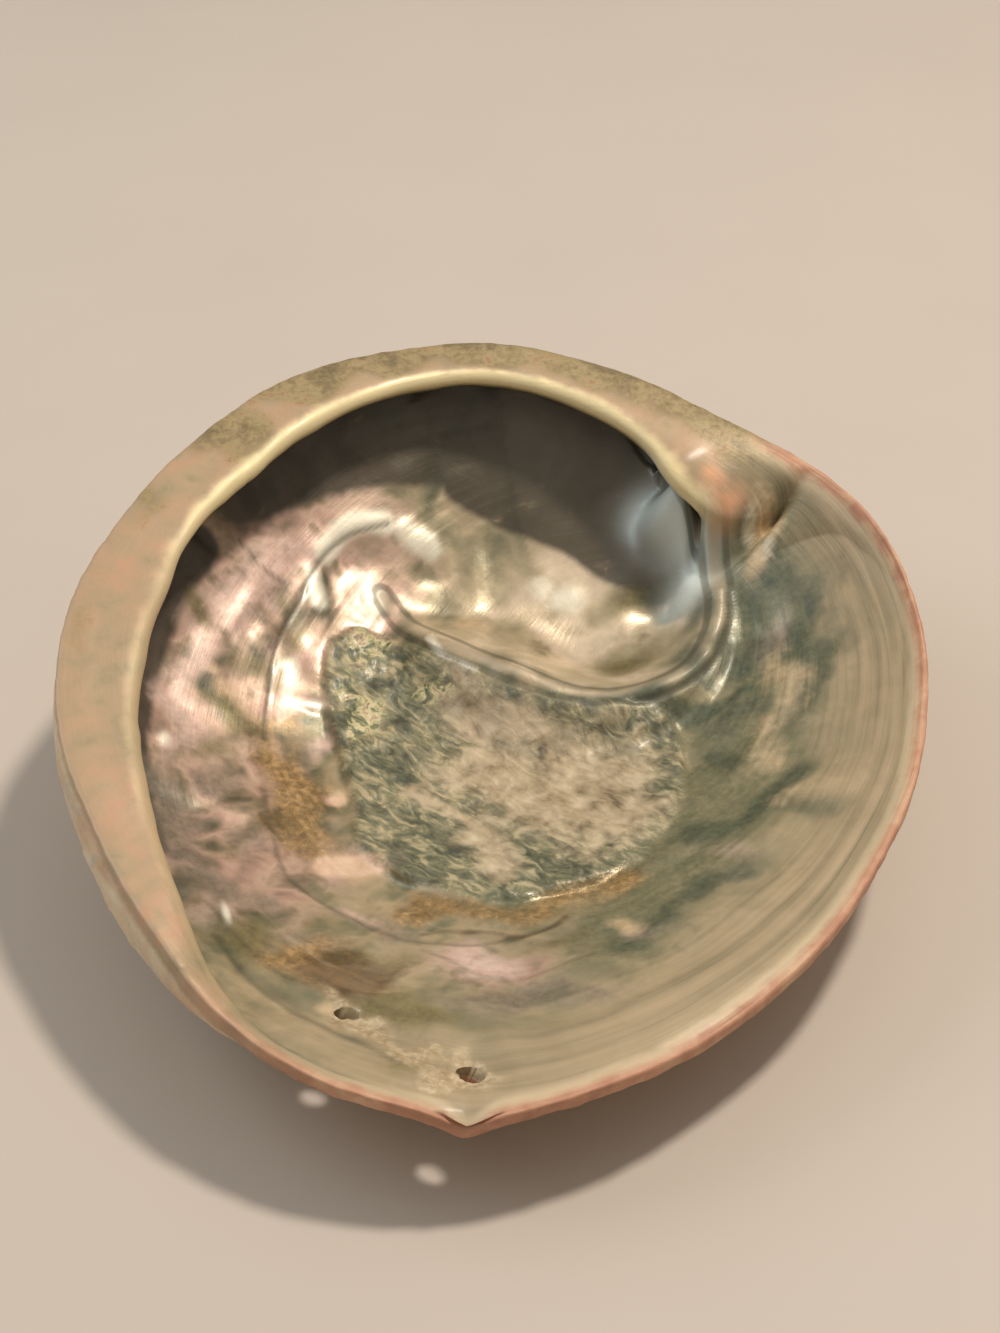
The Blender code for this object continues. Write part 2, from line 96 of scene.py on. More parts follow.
def addLamp(name, direction, distance, size, power, colour):
    lamp = bpy.data.lights.new(name, "AREA")
    lamp.shape = "DISK"
    lamp.size = size
    lamp.energy = power
    lamp.color = tint(*colour)[:3]
    item = linkObject(name, lamp)
    item.location = Vector(direction).normalized() * distance
    item.rotation_euler = Vector(direction).to_track_quat("Z", "Y").to_euler()


makeCamera()
for name, settings in lamps.items():
    addLamp(name, *settings)
print("camera and lamps are set")

# Curves


def smoothLoop(points, angles):  # smooth closed curve through (angle, value) pairs
    knots = np.array([point[0] for point in points], float)
    values = np.array([point[1] for point in points], float)
    knots = np.concatenate([knots[-2:] - 360, knots, knots[:3] + 360])
    values = np.concatenate([values[-2:], values, values[:3]])
    slopes = np.gradient(values, knots)
    turned = (np.asarray(angles, float) - knots[1]) % 360 + knots[1]
    left = np.clip(np.searchsorted(knots, turned, side="right") - 1, 0, len(knots) - 2)
    gap = knots[left + 1] - knots[left]
    step = (turned - knots[left]) / gap
    rise = values[left + 1] - values[left]
    startSlope = slopes[left] * gap - rise
    endSlope = rise - slopes[left + 1] * gap
    return values[left] + rise * step + step * (1 - step) * ((1 - step) * startSlope + step * endSlope)


def blendFour(before, start, end, after, step):
    bend = 2 * before - 5 * start + 4 * end - after
    turn = 3 * start - before - 3 * end + after
    return start + 0.5 * step * (end - before + step * (bend + step * turn))


def smoothPath(points, stepsPerSpan):
    points = np.array(points, float)
    padded = np.vstack([2 * points[0] - points[1], points, 2 * points[-1] - points[-2]])
    curve = []
    for index in range(len(points) - 1):
        before, start, end, after = padded[index:index + 4]
        for step in np.linspace(0, 1, stepsPerSpan, endpoint=False):
            curve.append(blendFour(before, start, end, after, step))
    curve.append(points[-1])
    return np.array(curve)


def ease(value):
    value = np.clip(value, 0, 1)
    return value * value * (3 - 2 * value)


def bump(distance, width):  # 1 at no distance, fading over the width
    return np.exp(-(distance / width) ** 2)


def apart(right, away, place):
    return np.hypot(right - place[0], away - place[1])


def lengthsAlong(rows):  # length along each row up to each of its points
    lengths = np.linalg.norm(np.diff(rows, axis=1), axis=-1)
    return np.concatenate([np.zeros((len(rows), 1)), lengths.cumsum(1)], 1)


def nearestOnPath(right, away, path):  # distance, side (positive to the right of the path), step met
    best = np.full(np.shape(right), np.inf)
    side = np.ones(np.shape(right))
    met = np.zeros(np.shape(right))
    for index, (start, end) in enumerate(zip(path[:-1, :2], path[1:, :2])):
        span = end - start
        offRight = right - start[0]
        offAway = away - start[1]
        along = np.clip((offRight * span[0] + offAway * span[1]) / (span ** 2).sum(), 0, 1)
        gap = np.hypot(offRight - along * span[0], offAway - along * span[1])
        nearer = gap < best
        best = np.where(nearer, gap, best)
        side = np.where(nearer, -np.sign(span[0] * offAway - span[1] * offRight), side)
        met = np.where(nearer, index + along, met)
    return best, side, met


def insideOutline(right, away, outline):
    crossings = np.zeros(np.shape(right), int)
    for start, end in zip(outline[:-1], outline[1:]):
        spans = (start[1] > away) != (end[1] > away)
        rise = end[1] - start[1]
        if rise != 0:
            meets = start[0] + (away - start[1]) * (end[0] - start[0]) / rise
            crossings += spans & (right < meets)
    return crossings % 2 == 1


# The shell's form

rim = {
    "middle": (-1.0, 36.0),
    "radii": [
        (0, 86.5), (15, 91.3), (30, 97.0), (45, 99.6), (60, 98.8), (75, 103.4), (90, 106.2), (105, 104.1),
        (120, 99.0), (135, 92.9), (150, 88.4), (165, 86.4), (180, 85.0), (195, 84.2), (210, 83.6),
        (225, 86.0), (240, 90.6), (255, 96.4), (267.5, 98.6), (285, 93.1), (300, 87.6), (315, 84.5),
        (330, 82.8), (345, 83.9)],
    "shelfWidths": [
        (20, 2.8), (41, 2.9), (44, 5.5), (47, 15.0), (51, 20.0), (57, 21.0), (68, 16.2), (88, 12.6),
        (97, 12.2), (112, 14.8), (130, 16.8), (147, 15.4), (165, 17.4), (180, 16.4), (195, 14.4),
        (209, 12.0), (220, 10.4), (228, 8.8), (236, 7.4), (245, 6.0), (254, 4.6), (262, 3.4), (275, 2.6),
        (350, 2.8)],
    "shelfOnset": (3.4, 9.4),
    "shelfFalls": [  # how far the shelf's inner edge falls below the rim
        (10, 0.0), (30, 1.5), (38, 6.0), (44, 10.5), (49, 10.0), (54, 6.5), (60, 3.2), (68, 1.2), (78, 0.2),
        (90, 0.0), (200, 0.0), (222, 0.6), (240, 1.2), (262, 0.5), (290, 0.0)],
    "shelfProfile": [  # share of the width, length added to it, height, share of the fall
        (0.0, 0.672, 0.4, 0.0), (0.22, 0.4, 0.5, 0.08), (0.55, 0.0, 0.3, 0.4), (1.0, -1.68, -0.05, 0.85),
        (1.0, 0.0, -2.19, 1.0), (1.0, -1.995, -4.71, 1.0)],
    "underShare": 0.35,
    "cornerShare": 0.55,
    "cornerRise": 1.1,
    "shelfColourStart": (47, 56),  # angles between which the shelf takes its colour
    "shelfColourSide": (20, 90),  # the stretch that this start is in
    "lipStart": (0.25, 0.3),
    "lipCrest": (1.0, 0.5),
    "lipShares": (0.18, 0.36, 0.54, 0.7, 0.86),
    "flareReach": 0.14,
    "droop": 2.0,
    "span": 8,  # the higher, the closer the droop and the spout keep to the rim
    "waves": (0.5, 0.25),  # heights of the rim's long and short waves
    "waveFade": 14.0,  # the higher, the sooner they die out down the wall
    "lipFlares": [
        (0, 4.6), (25, 5.4), (42, 5.6), (54, 3.0), (66, 0.6), (90, 0.4), (120, 0.8), (200, 0.0), (222, 1.2),
        (245, 2.8), (268, 3.2), (330, 3.8)],
    "joins": [  # where the inner wall takes over from the shelf or lip, along the wall
        (0, 4.2), (30, 4.4), (37, 9.0), (42, 22.0), (47, 32.0), (51, 32.0), (55, 20.0), (59, 10.2),
        (120, 10.2), (195, 10.2), (209, 9.6), (220, 8.8), (228, 8.0), (236, 7.2), (245, 6.4), (254, 5.4),
        (262, 4.6), (300, 4.2)],
    "overhang": (30, 14),  # joins at which the shelf runs down solid, and at which it overhangs
    "notchAngle": 267.5,
    "notchDepth": 3.0,
    "notchHalfAngle": 2.6,
    "notchShape": 1.6,
    "spoutLength": 0.7,
    "spoutHalfAngle": 3.4,
}

bowl = {
    "depth": 39.0,
    "steepness": [
        (0, 0.30), (30, 0.65), (60, 0.85), (90, 0.62), (120, 0.72), (155, 0.95), (195, 1.0), (222, 0.62),
        (245, 0.14), (268, 0.0), (330, 0.06)],
    "bulge": [
        (0, 0.0), (90, 0.4), (150, 0.6), (185, 1.0), (210, 3.4), (226, 6.4), (240, 8.6), (252, 5.0),
        (264, 0.8), (300, 0.0)],
    "roundness": (2.2, 1.4),
    "squareness": (1.0, 0.9),
    "bulgeCurve": 0.7,
    "floorThickness": 4.4,
    "rimThickness": 2.1,
    "thickensOver": 0.5,  # share of the wall, from the rim down
    "lean": (-4.5, 12.2),
}

lying = {
    "tilt": 10.0,
    "roll": 4.5,
    "origin": (-0.29, -39.11, 31.84),  # where the shell's own frame starts, in the part's frame
    "wornPlace": (-5.0, 48.0),
    "wornRadius": 12.0,
}

holes = {
    "row": [
        (267.5, 0.90), (250.5, 0.825), (233, 0.85), (216, 0.865), (200, 0.875), (184, 0.875), (169, 0.87),
        (155, 0.86), (142, 0.845), (130, 0.83), (119, 0.81), (109, 0.79), (100, 0.765), (92, 0.74),
        (85, 0.715), (79, 0.69)],
    "open": 2,
    "length": 5.2,
    "width": 3.4,
    "lean": (0.3, -0.12, 0.0),
    "taper": (0.62, 0.38),
    "cutterLength": 22.0,
    "cutterSides": 28,
    "lumpRadius": 5.8,
    "lumpHeight": 3.2,
    "lumpShrink": 0.93,
    "channelDepth": 1.1,
    "channelWidth": 4.5,
    "channelHoles": 6,  # how many holes it runs past, and the steps between two of them
    "channelSteps": 6,
    "channelEnd": (26, 12),  # the step where it ends, and over how many it fades
}

spire = {
    "tip": (38.0, 84.0),
    "height": 5.4,
    "radius": 15.0,
    "seamStartRadius": 27.0,
    "seamStartAngle": 48.0,
    "seamShrinkPerTurn": 3.4,
    "seamTurns": 1.9,
    "seamDepth": 1.5,
    "seamWidth": 2.2,
    "seamLeastWidth": 0.35,  # share of the width that is left at the tip
    "seamFades": (0.1, 0.5),  # turns over which it begins and ends
}

ridge = {  # right, away, height, slope into the spire bowl
    "path": [
        (43.0, 108.0, -7.0, 2.2), (47.5, 101.0, -13.0, 2.0), (50.5, 90.0, -18.5, 1.6),
        (49.5, 76.0, -21.5, 1.2), (43.5, 64.5, -23.5, 0.9), (33.0, 58.5, -25.0, 0.8),
        (21.0, 57.5, -26.2, 0.7), (10.2, 61.5, -27.5, 0.6), (-3.0, 70.0, -30.0, 0.45),
        (-14.0, 80.0, -34.0, 0.35), (-24.0, 92.0, -40.0, 0.3)],
    "outerSlope": 0.75,
    "rounding": 2.0,
    "blend": 1.2,
    "creaseDepth": 0.4,
    "creaseGap": 2.6,
    "creaseWidth": 0.9,
    "creaseEnds": (10, 58, 78),  # points of the path where the crease is full, fades and ends
    "hollowEnds": (66, 86),
    "pit": (39.5, 89.0),
    "pitDepth": 4.5,
    "pitRadius": 6.0,
}

scar = {
    "outline": [
        (-35, 77), (-36, 68), (-34, 55), (-30, 41), (-28, 31), (-26, 18), (-20, 9), (-11, 2.5), (-2, -1),
        (6, -1.5), (14, 1), (21, 3), (31, 11), (38, 27), (41, 44), (38, 53), (27, 55.5), (15, 57), (2, 62),
        (-9, 70), (-20, 79), (-29, 82)],
    "height": 1.3,
    "roughness": 0.35,
    "edgeWidth": 3.0,
}

outside = {
    "ridgeHeight": 0.75,
    "ridgeCount": 17,
    "spread": 0.8,
    "sway": (0.7, 0.35),
    "foldHeight": 0.5,
    "foldCount": 9,
    "uneven": (0.6, 0.4),  # the mean of the ridges' height and its change round the shell
    "ridgesFull": 0.25,  # how far along the growth the ridges are full
    "foldsStart": (0.3, 0.4),  # where the folds start, and how soon they are full
    "fade": 0.05,
}

pearl = {
    "swellHeight": 0.9,
    "fade": 0.12,
}

mesh = {
    "columns": 560,
    "outerRows": 52,
    "topSteps": 3,
    "topSpans": 8,  # between the nine points over the shelf or lip
    "innerRows": 150,
    "wallSamples": 260,
    "wallSpacing": 1.6,
    "innerSpacing": 0.95,
    "thinning": ((34, 2), (16, 4), (7, 8)),  # inside this radius, one column in so many
    "seamPoints": 4,  # steps for each span of a plan path
    "ridgePoints": 8,
}


def rowPoint(angle, fraction):
    reach = fraction * float(smoothLoop(rim["radii"], [angle])[0])
    turn = math.radians(angle)
    return rim["middle"][0] + reach * math.cos(turn), rim["middle"][1] + reach * math.sin(turn)


def besideNotch(angles):
    return (np.asarray(angles) - rim["notchAngle"] + 180) % 360 - 180


def outerWall(angles, samples):  # the plain outside, from the rim to the lowest point
    fraction = 1 - np.linspace(0, 1, samples) ** mesh["wallSpacing"]
    steep = smoothLoop(bowl["steepness"], angles)[:, None]
    reach = fraction[None, :]
    beside = bump(besideNotch(angles), rim["spoutHalfAngle"])[:, None]
    spout = rim["spoutLength"] * beside * reach ** rim["span"]
    radius = smoothLoop(rim["radii"], angles)[:, None] + spout
    roundPower = bowl["roundness"][0] + bowl["roundness"][1] * steep
    squarePower = bowl["squareness"][0] + bowl["squareness"][1] * steep
    depth = bowl["depth"] * (1 - reach ** roundPower) ** (1 / squarePower)
    flare = smoothLoop(rim["lipFlares"], angles)[:, None]
    inset = (1 - reach) / rim["flareReach"]
    depth = depth - flare * inset * np.exp(1 - inset)
    depth = depth + rim["droop"] * (1 - steep) * reach ** rim["span"]
    sunk = np.clip(depth / bowl["depth"], 0, 1) ** bowl["bulgeCurve"]
    bulge = smoothLoop(bowl["bulge"], angles)[:, None] * 4 * sunk * (1 - sunk)
    turn = np.radians(angles)[:, None]
    right = (radius * reach + bulge) * np.cos(turn)
    away = (radius * reach + bulge) * np.sin(turn)
    leanRight, leanAway = (math.tan(math.radians(value)) for value in bowl["lean"])
    height = -depth - (leanRight * right + leanAway * away) * (1 - reach ** 2) ** 2
    return np.stack([rim["middle"][0] + right, rim["middle"][1] + away, height], -1)


def inwardNormals(surface):
    down = np.gradient(surface, axis=1)
    padded = np.concatenate([surface[-1:], surface, surface[:1]])
    normals = np.cross(padded[2:] - padded[:-2], down)
    normals[:, -1] = normals[:, -2].mean(0)
    return normals / np.linalg.norm(normals, axis=-1, keepdims=True)


def resample(curve, starts, fractions):
    result = np.empty((len(curve), len(fractions), 3))
    for index, (row, measured) in enumerate(zip(curve, lengthsAlong(curve))):
        wanted = starts[index] + (measured[-1] - starts[index]) * fractions
        for axis in range(3):
            result[index, :, axis] = np.interp(wanted, measured, row[:, axis])
    return result


def shelfPart(angles):  # 1 where the rim is a shelf, 0 where it is a plain lip
    low, high = rim["shelfOnset"]
    return ease((smoothLoop(rim["shelfWidths"], angles) - low) / (high - low))


def rimHeightAt(angles):
    offset = np.abs(besideNotch(angles)) / rim["notchHalfAngle"]
    notch = -rim["notchDepth"] * np.exp(-offset ** rim["notchShape"])
    turn = np.radians(angles)
    long, short = rim["waves"]
    return notch + long * np.sin(5 * turn + 0.6) * np.sin(2 * turn) + short * np.sin(13 * turn)


def topBand(angles, outerStart, innerStart, rimHeight):  # over the shelf or lip and back under
    turn = np.radians(angles)
    outward = np.stack([np.cos(turn), np.sin(turn), np.zeros(len(angles))], -1)
    upward = np.array([0.0, 0.0, 1.0])
    width = smoothLoop(rim["shelfWidths"], angles)
    base = np.column_stack([outerStart[:, :2], rimHeight])
    fall = smoothLoop(rim["shelfFalls"], angles)

    def across(inset, height):
        inset = np.broadcast_to(inset, width.shape)[:, None]
        height = np.broadcast_to(height, width.shape)[:, None]
        return base - outward * inset + upward * height

    shelfRows = [
        across(share * width + added, height - part * fall)
        for share, added, height, part in rim["shelfProfile"]]
    nose, under = shelfRows[-2:]
    solid, overhung = rim["overhang"]
    openPart = ease((solid - smoothLoop(rim["joins"], angles)) / (solid - overhung))[:, None]
    under = under + (1 - openPart) * (nose + rim["underShare"] * (innerStart - nose) - under)
    corner = under + rim["cornerShare"] * (innerStart - under) + upward * rim["cornerRise"] * openPart
    shelfPoints = np.stack([outerStart, *shelfRows[:-1], under, corner, innerStart], 1)
    lipTop = across(*rim["lipCrest"])
    inward = [lipTop + share * (innerStart - lipTop) for share in rim["lipShares"]]
    lipPoints = np.stack([outerStart, across(*rim["lipStart"]), lipTop, *inward, innerStart], 1)
    return lipPoints + (shelfPoints - lipPoints) * shelfPart(angles)[:, None, None]


def smoothRows(controls, steps):
    ends = 2 * controls[:, :1] - controls[:, 1:2], 2 * controls[:, -1:] - controls[:, -2:-1]
    padded = np.concatenate([ends[0], controls, ends[1]], 1)
    rows = []
    for index in range(controls.shape[1] - 1):
        before, start, end, after = np.moveaxis(padded[:, index:index + 4], 1, 0)
        for step in np.linspace(0, 1, steps, endpoint=False):
            rows.append(blendFour(before, start, end, after, step))
    return np.stack(rows[1:], 1)


def planAngle(right, away, centre):
    return np.degrees(np.arctan2(away - centre[1], right - centre[0])) % 360


def spiralSeam(right, away):
    tip = spire["tip"]
    distance = apart(right, away, tip)
    startFade, endFade = spire["seamFades"]
    turned = (planAngle(right, away, tip) - spire["seamStartAngle"]) % 360
    total = np.zeros_like(distance)
    for turn in range(3):
        back = turn + 1 - turned / 360
        radius = spire["seamStartRadius"] * spire["seamShrinkPerTurn"] ** (-back)
        width = spire["seamWidth"] * (spire["seamLeastWidth"] + radius / spire["seamStartRadius"])
        ends = ease((spire["seamTurns"] - back) / endFade) * ease(back / startFade)
        total += bump(distance - radius, width) * ends
    return total


def growthPosition(right, away):  # 0 at the spire tip, 1 at the rim
    tip = spire["tip"]
    steps = np.linspace(0, 2 * math.pi, 181)
    radius = smoothLoop(rim["radii"], np.degrees(steps))
    rimRight = rim["middle"][0] + radius * np.cos(steps) - tip[0]
    rimAway = rim["middle"][1] + radius * np.sin(steps) - tip[1]
    rimDirection = np.unwrap(np.arctan2(rimAway, rimRight))
    wanted = (np.radians(planAngle(right, away, tip)) - rimDirection[0]) % (2 * math.pi) + rimDirection[0]
    reach = np.interp(wanted, rimDirection, np.hypot(rimRight, rimAway))
    return apart(right, away, tip) / reach


def outerRelief(points):
    right, away = points[..., 0], points[..., 1]
    grown = growthPosition(right, away)
    swing = np.radians(planAngle(right, away, spire["tip"]))
    sway = outside["sway"][0] * np.sin(2 * swing) + outside["sway"][1] * np.sin(5 * swing + 1)
    phase = outside["ridgeCount"] * math.pi * grown ** outside["spread"] + sway
    mean, change = outside["uneven"]
    uneven = mean + change * np.sin(3 * swing + 4 * grown)
    growth = outside["ridgeHeight"] * (0.5 + 0.5 * np.cos(2 * phase)) * uneven
    folds = outside["foldHeight"] * np.sin(outside["foldCount"] * swing + 5 * grown)
    foldStart, foldRise = outside["foldsStart"]
    folds = folds * ease((grown - foldStart) / foldRise)
    cone = spire["height"] * bump(apart(right, away, spire["tip"]), spire["radius"])
    relief = growth * ease(grown / outside["ridgesFull"]) + folds + cone
    relief = relief - spire["seamDepth"] * spiralSeam(right, away)
    for index, (angle, fraction) in enumerate(holes["row"]):
        size = holes["lumpShrink"] ** index
        gap = apart(right, away, rowPoint(angle, fraction))
        relief = relief + holes["lumpHeight"] * size * bump(gap, holes["lumpRadius"] * size)
    worn = apart(right, away, lying["wornPlace"])
    return relief * ease((worn - lying["wornRadius"]) / lying["wornRadius"])


def scarDistance(right, away):  # positive inside the muscle scar
    outline = np.array(scar["outline"], float)
    outline = smoothPath(np.vstack([outline, outline[:1]]), mesh["seamPoints"])
    distance, _, _ = nearestOnPath(right, away, outline)
    return np.where(insideOutline(right, away, outline), distance, -distance)


def innerRelief(points):
    right, away, height = points[..., 0], points[..., 1], points[..., 2]
    path = smoothPath(ridge["path"], mesh["ridgePoints"])
    distance, side, met = nearestOnPath(right, away, path)
    steps = np.arange(len(path))
    slope = np.where(side > 0, np.interp(met, steps, path[:, 3]), ridge["outerSlope"])
    rounded = np.sqrt(distance ** 2 + ridge["rounding"] ** 2) - ridge["rounding"]
    target = np.interp(met, steps, path[:, 2]) - slope * rounded
    crest = ridge["blend"] * np.logaddexp(0, (target - height) / ridge["blend"])
    full, fades, ends = ridge["creaseEnds"]
    creases = bump(distance - ridge["creaseGap"], ridge["creaseWidth"])
    creases = -ridge["creaseDepth"] * creases * ease(met / full) * ease((ends - met) / (ends - fades))
    pit = -ridge["pitDepth"] * bump(apart(right, away, ridge["pit"]), ridge["pitRadius"])
    scarPart = ease(0.5 + scarDistance(right, away) / scar["edgeWidth"])
    rough = scar["roughness"] * np.sin(0.55 * right + 0.9 * np.sin(0.31 * away)) * np.sin(0.47 * away + 1.3)
    swells = np.sin(0.085 * right + 0.05 * away + 1) * np.sin(0.075 * away - 0.06 * right)
    swells = pearl["swellHeight"] * swells
    passed = [rowPoint(*place) for place in holes["row"][:holes["channelHoles"]]]
    rowDistance, _, rowMet = nearestOnPath(right, away, smoothPath(passed, holes["channelSteps"]))
    lastStep, fadeSteps = holes["channelEnd"]
    channel = bump(rowDistance, holes["channelWidth"]) * ease((lastStep - rowMet) / fadeSteps)
    channel = -holes["channelDepth"] * channel
    return crest + creases + pit + scarPart * (scar["height"] + rough) + swells * (1 - scarPart) + channel


def closedRows(angles):  # outer pole, outside, rim, inside, inner pole
    samples = mesh["wallSamples"]
    outer = outerWall(angles, samples)
    outer[..., 2] += rimHeightAt(angles)[:, None] * np.exp(-np.linspace(0, rim["waveFade"], samples))[None, :]
    depthWays = np.linspace(0, 1, samples)[None, :, None]
    thickening = (bowl["floorThickness"] - bowl["rimThickness"]) * ease(depthWays / bowl["thickensOver"])
    thickness = bowl["rimThickness"] + thickening
    inner = outer + inwardNormals(outer) * thickness
    innerWays = np.linspace(0, 1, mesh["innerRows"])
    inner = resample(inner, smoothLoop(rim["joins"], angles), innerWays ** mesh["innerSpacing"])
    inner[..., 2] += innerRelief(inner) * ease(innerWays / pearl["fade"])[None, :]
    controls = topBand(angles, outer[:, 0], inner[:, 0], rimHeightAt(angles))
    top = smoothRows(controls, mesh["topSteps"])
    outerWays = np.linspace(0, 1, mesh["outerRows"])
    outer = resample(outer, np.zeros(len(angles)), outerWays)
    raised = outerRelief(outer)[..., None] * ease(outerWays / outside["fade"])[None, :, None]
    outer = outer - inwardNormals(outer) * raised
    return np.concatenate([outer[:, ::-1], top, inner], 1)


def columnSteps(rows):  # columns thin out toward the two poles, where the rings are short
    reach = np.hypot(rows[..., 0] - rows[:, -1:, 0].mean(), rows[..., 1] - rows[:, -1:, 1].mean()).mean(0)
    steps = np.ones(len(reach), int)
    for radius, step in mesh["thinning"]:
        steps = np.where(reach < radius, step, steps)
    return steps


def joinRows(rows, steps):  # the closed mesh's points and faces
    count, length = rows.shape[:2]
    starts = {}
    points = []
    total = 0
    for row in range(1, length - 1):
        starts[row] = total
        ring = rows[::steps[row], row]
        points.append(ring)
        total += len(ring)
    points = np.concatenate(points + [rows[:, :1].mean(0), rows[:, -1:].mean(0)])

    def corner(row, column):
        return starts[row] + (column % count) // steps[row]

    faces = []
    for row in range(1, length - 2):
        here, there = steps[row], steps[row + 1]
        wide = max(here, there)
        for column in range(0, count, wide):
            end = column + wide
            half = column + wide // 2
            first, second = corner(row, column), corner(row, end)
            third, fourth = corner(row + 1, end), corner(row + 1, column)
            if here == there:
                faces.append((first, second, third, fourth))
            elif here < there:
                faces.append((first, corner(row, half), fourth))
                faces.append((corner(row, half), second, third, fourth))
            else:
                faces.append((first, second, third, corner(row + 1, half)))
                faces.append((first, corner(row + 1, half), fourth))
    for column in range(0, count, steps[1]):
        faces.append((total, corner(1, column + steps[1]), corner(1, column)))
    last = length - 2
    for column in range(0, count, steps[last]):
        faces.append((corner(last, column), corner(last, column + steps[last]), total + 1))
    return points, faces


def restTurn():  # from the shell's own frame to the way it lies
    tilt = math.tan(math.radians(lying["tilt"]))
    roll = math.tan(math.radians(lying["roll"]))
    normal = Vector((roll, -tilt, 1)).normalized()
    right = (Vector((1, 0, 0)) - normal * normal.x).normalized()
    return Matrix((right, normal.cross(right), normal)).transposed().to_4x4()


shellPlace = Matrix.Translation(Vector(lying["origin"]) * metresPerMm) @ restTurn()

# Where the colours and the fine relief change, in the shell's own frame. A path has its points, its
# half width and its strength, and a spot its place, two radii, its turn in degrees and its strength.

